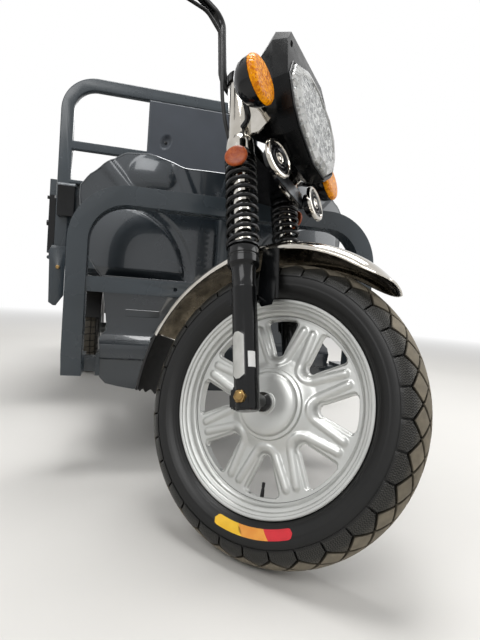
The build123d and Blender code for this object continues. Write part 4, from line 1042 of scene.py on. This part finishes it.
def make_fender():
    bm = bmesh.new()
    skins = fender_skin(0.0), fender_skin(2.4)
    # The inner skin takes the second finish, its brown and dark tones a painted reflection of the floor and painted
    # shade
    put(bm, shell(*skins), finish=None)
    middle = [[a.lerp(b, 0.5) for a, b in zip(outer, inner)] for outer, inner in zip(*skins)]
    edge = [row[0] for row in middle] + middle[-1][1:-1:2] + [row[-1] for row in reversed(middle)]
    put(bm, bar(edge + middle[0][-2:0:-2], round_section(2.2), closed=True))
    ear = [(-27, SKIRT - 1), (-62, SKIRT - 6), (-58, 262), (-48, 205), (-40, 190), (-16, 190), (-8, 205), (-16, 262)]
    for side in (-1, 1):
        put(bm, plate(ear, 3, 1.0), at(side * (FENDER_HALF + 1.2) - 1.5, 0, 0) @ YZ, finish=2)
        rib = block(-1.4, 1.4, -3, 3, 200, SKIRT - 8, 1.2)
        put(bm, rib, at(side * (FENDER_HALF + 3.2), -40, 0) @ turn(4, "X"), finish=2)
        place = at(side * (FENDER_HALF + 2), -14, 204) @ turn(0 if side > 0 else 180, "Z")
        put(bm, turned([(0, 7), (15, 7), (15, 0), (0, 0)], 16), place, finish=2)
    detailed("front_fender", bm, ["plated_chrome", "dirty_chrome", "gloss_black_lacquer"], "fork", 40)


def make_flap():
    bm = bmesh.new()
    rows = []
    for i, angle in enumerate(spread(FENDER_LAST, FLAP_LAST, 12)):
        row = []
        for j, share in enumerate(spread(-1, 1, FLAP_TEETH * 6)):
            tooth = 1.6 * (1 - abs(2 * (j % 6) / 6 - 1)) if i == 12 else 0.0
            row.append(fender_point(angle - tooth, share, 0.4 + math.sin(math.pi * i / 12)))
        rows.append(row)
    put(bm, sheet(rows, 3.0))
    for share in (-0.62, 0.0, 0.62):
        place = at(*fender_point(58.5, share)) @ turn(-58.5, "X") @ turn(-90, "Y")
        put(bm, turned([(0, 5), (1.6, 5), (2.6, 3.6), (3, 0)], 14), place, finish=1)
    detailed("mudflap", bm, ["moulded_rubber", "bright_zinc"], "fork")


make_fender()
make_flap()


# Headlight: a clear faceted cover over a bright reflector, in a hooded gloss-black housing

LENS_EDGE = [(35, 780), (105, 735), (129, 680), (118, 612), (95, 571), (35, 522)]
LENS_FACE = [(30, 766), (94, 726), (114, 678), (104, 618), (84, 582), (30, 538)]
LENS_UP = 655.0
FLUTES = 8


def lens_ring(half, scale, ahead, flute=0.0, rough=0.0):
    """The lamp's outline at a scale, each edge in eight steps, every second one sunk or all of them uneven."""
    corners = [Vector((x * scale, -ahead, LENS_UP + (up - LENS_UP) * scale)) for x, up in mirrored(half)]
    centre = Vector((0, -ahead, LENS_UP))
    ring = []
    for a, b in zip(corners, corners[1:] + corners[:1]):
        for k in range(FLUTES):
            p = a.lerp(b, k / FLUTES)
            if k % 2:
                p += (centre - p).normalized() * flute
            p.y -= rough * noise.noise(p * 0.11)
            ring.append(p)
    return ring


def make_headlight():
    cover = bmesh.new()
    wall = [lens_ring(LENS_EDGE, 1.0, 137.5, 1.6), lens_ring(LENS_EDGE, 0.985, 146.5, 1.6),
            lens_ring(LENS_FACE, 1.005, 152.0, 1.2)]
    border = [wall[-1]] + [lens_ring(LENS_FACE, scale, ahead)
                           for scale, ahead in ((0.985, 152.8), (0.915, 152.8), (0.895, 150.6))]
    face = [border[-1]] + [lens_ring(LENS_FACE, scale, 150.8, 0.0, 3.4)
                           for scale in (0.8, 0.69, 0.58, 0.47, 0.36, 0.25, 0.14)]
    side_wall = sheet(wall, closed_rows=True)
    for number, quad in enumerate(side_wall.faces):
        quad.material_index = 0 if number % 3 == 2 else 1
    put(cover, side_wall, finish=None)
    put(cover, sheet(border, closed_rows=True), finish=1)
    put(cover, sheet(face, closed_rows=True))
    put(cover, face_of(wall[0]), finish=1)
    put(cover, face_of(face[-1]))
    piece("headlight_cover", cover, ["clear_polycarbonate", "fluted_polycarbonate"], "fork",
          "headlight_lens", 12)
    bowl = bmesh.new()
    put(bowl, sheet([lens_ring(LENS_FACE, scale, ahead, 0.0, 5.0) for scale, ahead in (
        (0.95, 146), (0.8, 142), (0.62, 146), (0.42, 141.5), (0.2, 145), (0.02, 142))], closed_rows=True))
    piece("headlight_reflector", bowl, ["lamp_reflector"], "fork", sharp=1)
    softened("headlight_housing", "satin_black_plastic", 13, 6, "fork", 12)
    trim = bmesh.new()
    # The air slots are matt plates laid on the hood in painted shade, standing for the dark inside of real slots
    vent = mirrored([(2.6, 11), (4.2, 8.6), (4.2, -8.6), (2.6, -11)])
    for side in (-1, 1):
        put(trim, plate(vent, 1.4, 0.4), at(side * 101, -138, 803) @ XZ @ turn(side * 20, "Z"), finish=1)
    brow = mirrored([(30, 784), (106, 741), (132, 684), (121, 610), (98, 567), (34, 516)])
    put(trim, bar([(x, -139.4, up) for x, up in brow], round_section(2.6), closed=True, up=(0, -1, 0)))
    piece("headlight_trim", trim, ["grained_black_plastic", "slot_black"], "fork")


make_headlight()


def make_signals():
    bm = bmesh.new()
    case = [(48, 0), (48, 14), (50, 20), (56, 31), (64, 40.5), (73, 46.5), (83, 49.4), (94, 50.4), (96.5, 50.4),
            (97, 49), (97, 0)]
    lens = [(96.6, 0), (96.6, 48.6), (98, 50.8), (101, 51), (105, 50), (109, 46.8), (111.4, 41), (112, 30), (112, 0)]
    for side in (-1, 1):
        place = at(side * 200, 0, 626) @ turn(-90, "Z")
        put(bm, turned(case, 44), place)
        put(bm, turned(lens, 44), place, finish=1)
        for i in range(20):
            put(bm, block(96.8, 104, -1.2, 1.2, 47.5, 51, 0.8, 1), place @ turn(18 * i, "X"), finish=1)
        stalk = [(121, -2, 597), (140, -40, 606), (188, -52, 626), (199, -60, 626)]
        put(bm, bar(bent([(side * x, y, up) for x, y, up in stalk], [26, 12], 6), round_section(6.2, 12)))
    detailed("turn_signals", bm, ["gloss_black_plastic", "amber_acrylic"], "fork", 32)


# The horn's turned parts, from its back to its front: outline, steps and finish
HORN = (
    ([(66, 0), (66, 22), (69, 26), (83, 27), (84.6, 34), (84.6, 0)], 40, 1),
    ([(84, 30), (84, 36.5), (85.5, 39), (91, 39), (93.4, 37.6), (94.6, 34.5), (94.2, 31.8), (92, 30.6), (90, 30.2),
      (84, 30)], 48, 0),
    ([(90, 30.3), (90, 29.6), (91.6, 28.6), (92.4, 27), (91.6, 25.2), (89.4, 24.4), (89.4, 21.4), (92.6, 20.4),
      (93.6, 18.6), (92.6, 16.8), (89.4, 16.2), (89.4, 13.4), (90, 12.6)], 48, 1),
    ([(90, 12.7), (92.6, 12), (93.6, 10.4), (92, 9), (90.2, 8.6)], 32, 0),
    ([(89.4, 9), (90.4, 8.6), (90.4, 0)], 32, 1),
    ([(90, 5.2), (93, 4.6), (94.4, 2.4), (94.6, 0)], 24, 0),
    ([(58, 0), (58, 7), (66, 7), (66, 0)], 16, 2),
)


def make_horns():
    bm = bmesh.new()
    # The right horn is turned out by 9 degrees on its bolt, and both discs are 13% wider than their barrels' plates.
    wider = Matrix.Diagonal((1, 1.13, 1.13, 1))
    for middle, yaw in ((-88, -99), (101, -90)):
        for outline, steps, finish in HORN:
            put(bm, turned(outline, steps), at(middle, 0, 504) @ turn(yaw, "Z") @ wider, finish)
    put(bm, block(-72, 72, -67.8, -66, 484, 524, 0.7), finish=2)
    put(bm, block(-72, 72, -67.8, -60, 481, 484.4, 0.7), finish=1)
    detailed("horns", bm, ["plated_chrome", "gloss_black_plastic", "bright_zinc"], "fork")


def make_reflectors():
    bm = bmesh.new()
    aim = Vector((0.96, -0.28, 0))
    outline = [(0, 0), (0, 24), (2, 25), (5.5, 25), (6.5, 23.6), (7.2, 22), (8.0, 17), (8.4, 9), (8.5, 0)]
    for side in (-1, 1):
        spot = Vector((side * (LEG + aim.x * 38), aim.y * 38, 510))
        put(bm, turned(outline, 36), at(*spot) @ turn(math.degrees(math.atan2(aim.y, side * aim.x)), "Z"))
        arm = [(side * (LEG + 20), -6, 536), (side * (LEG + 34), -10, 533), (spot.x - side, spot.y, 528)]
        put(bm, bar(arm, [(-6, -1.2), (6, -1.2), (6, 1.2), (-6, 1.2)], up=(0, 0, 1)), finish=1)
    detailed("fork_reflectors", bm, ["orange_reflector", "gloss_black_lacquer"], "fork")


make_signals()
make_horns()
make_reflectors()


# Leg shield: a bowed sheet with a low round dome, an upper cheek and pressed strips on each side

SHIELD_LOW, SHIELD_T, SHIELD_HALF = 545.0, 5.0, 429.8
SHIELD_Y, SHIELD_BEND = 508.0, 1146.5
SHIELD_TOP = [(0, 338), (132, 338), (185, 357), (236, 371), (301, 369), (346, 345), (402, 303), (430, 270)]
SHIELD_FOOT = [(0, 0), (352, 0), (395, 55), (424, 155), (430, 240)]
# The dome's middle as (x, z) and its radius; a groove runs round it between the two radii.
DOME, DOME_R, DOME_GROOVE = (330, 545), 214, (214, 247)
CHEEK = (222, 858)
# Pressed strips: their ends as (x, z), half width and height
STRIPS = (((372, 896), (286, 800), 18, 5.0), ((162, 920), (106, 800), 16, 4.0))


def between(table, x):
    """A curve through the table's points, eased a little at each of them."""
    for (a, u), (b, v) in zip(table, table[1:]):
        if x <= b:
            f = (x - a) / (b - a)
            return u + (v - u) * (0.35 * smooth_step(0.0, 1.0, f) + 0.65 * f)
    return table[-1][1]


def strip_share(spot, start, end, wide):
    """How far a spot is inside a straight pressed strip, from 0 to 1."""
    a, b = Vector(start), Vector(end)
    t = clamp((spot - a).dot(b - a) / (b - a).length_squared)
    return 1 - smooth_step(wide - 3, wide + 3, (spot - (a + (b - a) * t)).length)


def shield_relief(x, z):
    spot = Vector((abs(x), z))
    far = (spot - Vector(DOME)).length
    relief = (10.0 + 12.0 * max(0.0, 1 - (far / DOME_R) ** 2)) * (1 - smooth_step(210, 217, far))
    low, high = DOME_GROOVE
    relief -= (4.0 * smooth_step(low, low + 6, far) * (1 - smooth_step(high - 6, high, far))
               * (1 - smooth_step(720, 770, z)))
    relief += 13.0 * max(0.0, 1 - ((spot.x - CHEEK[0]) / 74) ** 2 - ((z - CHEEK[1]) / 60) ** 2)
    return relief + sum(high * strip_share(spot, start, end, wide) for start, end, wide, high in STRIPS)


def shield_point(x, up):
    z = SHIELD_LOW + up
    rim = clamp(min(1.0, (430 - abs(x)) / 30) * min(1.0, up / 25))
    y = SHIELD_Y + SHIELD_BEND - math.sqrt(SHIELD_BEND ** 2 - x ** 2) - shield_relief(x, z) * rim
    return Vector((x, y, z))


def make_shield():
    bm = bmesh.new()
    across = spread(-SHIELD_HALF, SHIELD_HALF, 184)
    ends = [(x, between(SHIELD_FOOT, abs(x)), between(SHIELD_TOP, abs(x))) for x in across]
    rows = [[shield_point(x, low + (top - low) * v) for x, low, top in ends] for v in spread(0, 1, 84)]
    back = [[p + Vector((0, SHIELD_T, 0)) for p in row] for row in rows]
    edge = rows[0] + [row[-1] for row in rows[1:]] + rows[-1][::-1][1:] + [row[0] for row in rows[::-1][1:-1]]
    rolled = [p + Vector((0, SHIELD_T / 2, 0)) for p in edge[::2]]
    put(bm, shell(rows, back), finish=None)
    put(bm, bar(rolled, round_section(3.4), closed=True))
    detailed("leg_shield", bm, ["flake_lacquer_slate", "grained_black_plastic"], "chassis", 40)


make_shield()


# Flat-sided nodes with their edges rounded

softened("bumper_hoop", "powder_coat_slate", 8, 4)
softened("bed_headboard", "powder_coat_slate", 6, 4)
softened("lower_apron", "flake_lacquer_slate", 4, 3)
softened("corner_brackets", "powder_coat_slate", 2, 2)
softened("marker_boxes", "gloss_black_plastic", 5, 3)
softened("seat_box", "powder_coat_slate", 1.2, 2)

# The backrest's dished recess: its middle, its half sizes and lean, and its depth
RECESS_X, RECESS_Z = 161, 1141
RECESS_HALF, RECESS_LEAN, RECESS_DEEP = (24, 30), 0.45, 10.5


def make_backrest():
    """A folded panel with rounded rims and two dished oval recesses that hold its bolts."""
    half, low, high, front, rear, rim = 236.5, 830.0, 1303.0, 1085.0, 1098.0, 5.0
    fine = [0, 0.4, 1.2, 2.6, 4.6, 7]
    across = [f - half for f in fine] + [-224 + 5.6 * i for i in range(81)] + [half - f for f in reversed(fine)]
    upward = [low + f for f in fine] + [843 + 6.0 * i for i in range(75)] + [high - f for f in reversed(fine)]
    outer = []
    for z in upward:
        row = []
        for x in across:
            near = min(half - abs(x), z - low, high - z, rim)
            y = front + rim - math.sqrt(max(0.0, rim ** 2 - (rim - near) ** 2))
            aside = abs(x) - RECESS_X
            far = math.hypot(aside / RECESS_HALF[0], (RECESS_LEAN * aside + z - RECESS_Z) / RECESS_HALF[1])
            # Its lip stands a little proud.
            y += RECESS_DEEP * (1 - smooth_step(0.55, 1.0, far)) - 0.9 * max(0.0, 1 - abs(far - 1.08) / 0.2)
            row.append(Vector((x, y, z)))
        outer.append(row)
    inner = [[Vector((p.x, rear, p.z)) for p in row] for row in outer]
    panel = bmesh.new()
    put(panel, shell(outer, inner))
    for side in (-1, 1):
        put(panel, hexagon(6.5, 5), at(side * RECESS_X, rear - 2, RECESS_Z) @ turn(-90, "Z"), finish=1)
    detailed("backrest_panel", panel, ["matt_coat_slate", "gloss_black_lacquer"], "chassis", 40)


def make_chassis_trim():
    """Caps on the marker boxes, raised fields on the apron, and the chassis's bolts."""
    trim = bmesh.new()
    for side in (-1, 1):
        put(trim, block(side * 499.4, side * 570.6, 1039.4, 1098, 903.6, 912.6, 2.6, 3))
    for x0, x1 in ((-278, -182), (278, 182), (-104, 104)):
        put(trim, block(x0, x1, 447.6, 451, 434, 455, 1.6, 3), finish=1)
    piece("chassis_trim", trim, ["bright_zinc", "flake_lacquer_slate"], "chassis", sharp=30)
    # Bolts of the corner plates, of the floorboard and of the seat box's front
    spots = [((side * 558, 1086, 584), (0, 0, -90)) for side in (-1, 1)]
    spots += [((side * 300, y, 333), (0, -90, 0)) for side in (-1, 1) for y in (470, 610, 750)]
    spots += [((side * 250, 810, z), (0, 0, -90)) for side in (-1, 1) for z in (360, 520, 670)]
    head = bmesh.new()
    put(head, turned([(0, 8), (1.4, 8), (1.8, 7.4), (1.8, 0)], 18))
    put(head, hexagon(6.2, 5), at(1.4, 0, 0))
    copies("chassis_bolts", head, spots, "yellow_zinc", "chassis")


make_backrest()
make_chassis_trim()


# Rear tyres: skewed centre blocks, side blocks and shoulder lugs; nuts on the pressed wheels

REAR_PITCHES = 44
NUTS, NUT_RING, NUT_X = 5, 62, 29.5


def rear_worn(s, t, h, dusty):
    return dusty * smooth_step(0.8, 1.0, h)


def make_rear_wheel(side):
    body = "rear_wheel_" + side
    total, edge = REAR_TYRE["far"][-1], REAR_TYRE["edge"]
    outlines = [([(-21, -15), (13, -15), (21, 15), (-13, 15)], 0.3)]
    for t in (-1, 1):
        outlines.append(([(-17, t * 19.5), (17, t * 19.5), (14, t * 43), (-20, t * 43)], 0.3))
        outlines.append(([(3, t * 48), (35, t * 48), (33, t * edge), (5, t * edge)], 0.1))
    cuts = [k * CUT_S for k in range(-2, 4)]
    blocks = [(outline, cuts, dusty) for outline, dusty in outlines]
    lay_tread("rear_tread_" + side, body, REAR_TYRE, REAR_PITCHES, blocks, rear_worn)
    lines = ((total - 9, 0.8, 1.4), (total - 15, 0.8, 1.0), (edge + 10, 0.8, 1.2))
    foot = [(43.8, 160.5), (43.8, 154.3)]
    lay_carcass("rear_carcass_" + side, body, REAR_TYRE, "rear_tyre_" + side, (120, 120), lines, foot)
    places = (polar(NUT_RING, 360 / NUTS * (k + 0.5)) for k in range(NUTS))
    copies("rear_nuts_" + side, hexagon(10.5, 9), [((NUT_X, -y, z), (0, 0, 0)) for z, y in places], "bright_zinc",
           body)


make_rear_wheel("left")
make_rear_wheel("right")


# Tail lamps with three lenses each, and the number plate

def make_tail_lamps():
    bm = bmesh.new()
    for side in (-1, 1):
        put(bm, block(side * 400, side * 540, 2585, 2619.4, 534, 590, 4, 3))
        for x0, x1, finish in ((404.5, 461, 1), (463.5, 499, 2), (501.5, 535.5, 3)):
            put(bm, block(side * x0, side * x1, 2618, 2627, 538.5, 583.5, 3.2, 3), finish=finish)
            for z in spread(546, 576, 4):
                rib = block(side * (x0 + 3), side * (x1 - 3), 2626.4, 2627, z - 1.2, z + 1.2, 0.25, 1)
                put(bm, rib, finish=finish)
    put(bm, block(130, 350, 2611, 2614, 460, 590, 1.3, 3), finish=4)
    for z in (466, 581):
        put(bm, block(138, 342, 2613.6, 2614.6, z, z + 3, 0.4, 1))
    for x in (180, 300):
        put(bm, hexagon(5, 3), at(x, 2613.6, 575) @ turn(90, "Z"), finish=5)
    detailed("tail_lamps", bm, ["gloss_black_plastic", "tail_lens_red", "amber_acrylic", "fluted_polycarbonate",
                                "white_plate", "bright_zinc"], "chassis")


make_tail_lamps()


# Mirror glasses and the ribs of the grips

GRIP_IN, GRIP_OUT = Vector((238, 64, 985)), Vector((385, 154, 979))
GRIP_RIBS, RIB_PITCH = 18, 6.2


def make_bar_trim():
    bm = bmesh.new()
    for side in (-1, 1):
        put(bm, plate(rounded_box(58, 36, 23, 6), 0.9, 0.3), at(side * 330.4, 89.2, 1204.2) @ XZ)
    piece("mirror_faces", bm, ["mirror_glass"], "fork")
    run = (GRIP_OUT - GRIP_IN).normalized()
    yaw = math.degrees(math.atan2(run.y, run.x))
    pitch = -math.degrees(math.asin(run.z))
    spots = []
    for k in range(GRIP_RIBS):
        p = GRIP_OUT - run * (8 + RIB_PITCH * k)
        spots += [(tuple(p), (0, pitch, yaw)), ((-p.x, p.y, p.z), (0, -pitch, -yaw))]
    ring = turned([(-1.8, 15.6), (-1.0, 16.9), (1.0, 16.9), (1.8, 15.6)], 24, closed=True)
    copies("grip_ribs", ring, spots, "moulded_rubber", "fork")


make_bar_trim()


# Seat cushion, stuffed by simulation, with a piped seam and sewn channels

SEAT_LOW, SEAT_HIGH = 709.0, 776.0
SEAT_HALF_X, SEAT_HALF_Y, SEAT_Y, SEAT_CORNER = 222.0, 127.5, 935.5, 44
# The room that the CAD's solid holds: half its width, its front and rear, its foot and top
ROOM_X, ROOM_Y, ROOM_Z = 229.0, (802.8, 1069.2), (707.4, 781.4)
GRID = 6.0
MOST_MOVED = 6.0
CHANNELS_X, CHANNEL_Y, CHANNEL_WIDE = (-78, 78), 885, 7.0
FRAMES = 20


def sewn_height(x, y, z):
    """The cushion's height at a spot after its top is crowned, its channels are sewn and its foot lies flat."""
    crown = max(0.0, 1 - (x / SEAT_HALF_X) ** 2) * max(0.0, 1 - ((y - 935) / 128) ** 2)
    rise = smooth_step(740, 770, z)
    z += 5.0 * crown ** 0.6 * rise - 4.5 * (1 - crown ** 0.5) * rise * 0.6
    for line in CHANNELS_X:
        z -= 5.5 * rise * math.exp(-((x - line) / CHANNEL_WIDE) ** 2)
    z -= 4.0 * rise * math.exp(-((y - CHANNEL_Y) / CHANNEL_WIDE) ** 2)
    return 707.6 + (z - 703) * 0.2 if z < SEAT_LOW else z


def stuff(obj):
    """Fills the cushion's cover by pressure."""
    cloth = modify(obj, "CLOTH").settings
    cloth.use_pressure = True
    cloth.uniform_pressure_force = 4.0
    cloth.effector_weights.gravity = 0.0
    cloth.quality = 4
    scene = bpy.context.scene
    for number in range(1, FRAMES + 1):
        scene.frame_set(number)
    baked(obj)
    scene.frame_set(1)


def make_cushion():
    outline = [(x, y + SEAT_Y) for x, y in rounded_box(SEAT_HALF_X, SEAT_HALF_Y, SEAT_CORNER, 8)]
    bm = plate(outline, SEAT_HIGH - SEAT_LOW, 14, 4)
    bm.transform(METRES @ CHASSIS @ at(0, 0, SEAT_LOW))
    mesh = as_mesh("seat_cushion_stuffed", bm)
    dress(mesh, ["grained_vinyl"], 180)
    obj = placed("seat_cushion_stuffed", mesh)
    modify(obj, "REMESH", mode="VOXEL", voxel_size=GRID * MM)
    baked(obj)
    start = [v.co.copy() for v in obj.data.vertices]
    stuff(obj)
    limit = MOST_MOVED * MM
    for v, was in zip(obj.data.vertices, start):
        moved = v.co - was
        if moved.length > limit:
            v.co = was + moved.normalized() * limit
        x, y, z = (c / MM for c in (v.co.x, v.co.y - FRONT_Y * MM, v.co.z))
        z = sewn_height(x, y, z)
        v.co = clamp(x, -ROOM_X, ROOM_X) * MM, (clamp(y, *ROOM_Y) + FRONT_Y) * MM, clamp(z, *ROOM_Z) * MM
    modify(obj, "SUBSURF", levels=1, render_levels=1)
    baked(obj)
    settle(obj, "seat", "seat_cushion")
    piping = bmesh.new()
    middle = Vector((0, 935, 716))
    seam = [Vector((x, y, middle.z)) for x, y in outline]
    put(piping, bar([p + (p - middle).normalized() * 5.5 for p in seam], round_section(2.6), closed=True))
    piece("seat_piping", piping, ["grained_vinyl"], "seat", sharp=60)


make_cushion()


# CAD nodes that stay, by their finishes

KEPT = {
    "powder_coat_slate": "main_frame floorboard bed_frame bed_floor side_panel_left side_panel_right tailgate",
    "gloss_black_lacquer": "foot_controls bed_latches leaf_springs steering_stem handlebar",
    "moulded_rubber": "rear_fenders brake_harness",
    "grained_black_plastic": "handlebar_controls seat_base",
    "silver_wheel_paint": "rear_rim_left rear_rim_right",
    "gloss_black_plastic": "mirrors", "battery_case": "battery_block", "cast_aluminium": "rear_axle",
    "plated_chrome": "lamp_bracket", "bright_zinc": "tail_latches",
}
for finish, nodes in KEPT.items():
    for node in nodes.split():
        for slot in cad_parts[node].material_slots:
            slot.material = MATERIALS[finish]


# Floor, backdrop and lights

WORLD_LIGHT = 0.36
FLOOR_HALF = 40
WHITE = (1, 1, 1, 1)
SEEN = ("Is Camera Ray", "Is Glossy Ray", "Is Transmission Ray")


def seen_by(tree, rays):
    """1 for a ray of one of the given kinds, 0 for any other."""
    path = add(tree, "ShaderNodeLightPath").outputs
    found = path[rays[0]]
    for ray in rays[1:]:
        found = add(tree, MATHS, {0: found, 1: path[ray]}, operation="MAXIMUM")
    return found


def make_floor():
    """A pale floor that turns to the backdrop's white far off."""
    tree, place = start_material("pale_floor")
    broad = add(tree, NOISE, {"Vector": place, "Scale": 1.1, "Detail": 5.0})
    tone = add(tree, MIX, {0: broad, 6: linear("#CDCBC7"), 7: linear("#D6D4D0")}, data_type="RGBA")
    gloss = add(tree, VALUES, {"Value": broad, "To Min": 0.6, "To Max": 0.8})
    shader = add(tree, "ShaderNodeBsdfPrincipled", {"Base Color": tone, "Roughness": gloss})
    light = add(tree, "ShaderNodeEmission", {"Color": WHITE, "Strength": 1.0})
    far = add(tree, "ShaderNodeVectorMath", {0: place}, operation="LENGTH").outputs["Value"]
    away = add(tree, VALUES, {"Value": far, "From Min": 3.0, "From Max": 9.0})
    share = add(tree, MATHS, {0: seen_by(tree, SEEN[:2]), 1: away}, operation="MULTIPLY")
    both = add(tree, "ShaderNodeMixShader", {0: share, 1: shader, 2: light})
    add(tree, "ShaderNodeOutputMaterial", {"Surface": both})
    mesh = bpy.data.meshes.new("floor")
    corners = [(x * FLOOR_HALF, y * FLOOR_HALF, 0) for x, y in ((-1, -1), (1, -1), (1, 1), (-1, 1))]
    mesh.from_pydata(corners, [], [(0, 1, 2, 3)])
    mesh.materials.append(MATERIALS["pale_floor"])
    placed("floor", mesh)


def make_backdrop():
    """White where it is seen, and a soft even light on everything else."""
    world = bpy.context.scene.world = bpy.data.worlds.new("studio")
    world.use_nodes = True
    tree = world.node_tree
    tree.nodes.clear()
    strength = add(tree, VALUES, {"Value": seen_by(tree, SEEN), "To Min": WORLD_LIGHT})
    back = add(tree, "ShaderNodeBackground", {"Color": WHITE, "Strength": strength})
    add(tree, "ShaderNodeOutputWorld", {"Surface": back})


# Soft boxes: name, place, aim, width, height (metres) and power in watts
LAMPS = (
    ("ceiling", (0.2, -0.6, 4.4), (0.0, -0.3, 0.5), 2.4, 1.6, 150.0),
    ("key", (-2.2, -3.4, 3.2), (0.0, -0.9, 0.5), 2.6, 2.0, 75.0),
    ("left", (3.6, -1.6, 2.4), (0.0, 0.0, 0.6), 2.4, 2.4, 55.0),
    ("rear", (0.5, 4.0, 3.0), (0.0, 0.6, 0.6), 3.0, 2.0, 60.0),
)


def make_lights():
    for name, place, aim, wide, high, power in LAMPS:
        data = bpy.data.lights.new(name, "AREA")
        data.shape = "RECTANGLE"
        data.size = wide
        data.size_y = high
        data.energy = power
        lamp = placed(name, data)
        lamp.location = place
        lamp.rotation_euler = (Vector(aim) - Vector(place)).to_track_quat("-Z", "Y").to_euler()


make_floor()
make_backdrop()
make_lights()
bpy.context.scene.view_settings.view_transform = "Standard"

bpy.context.view_layer.update()
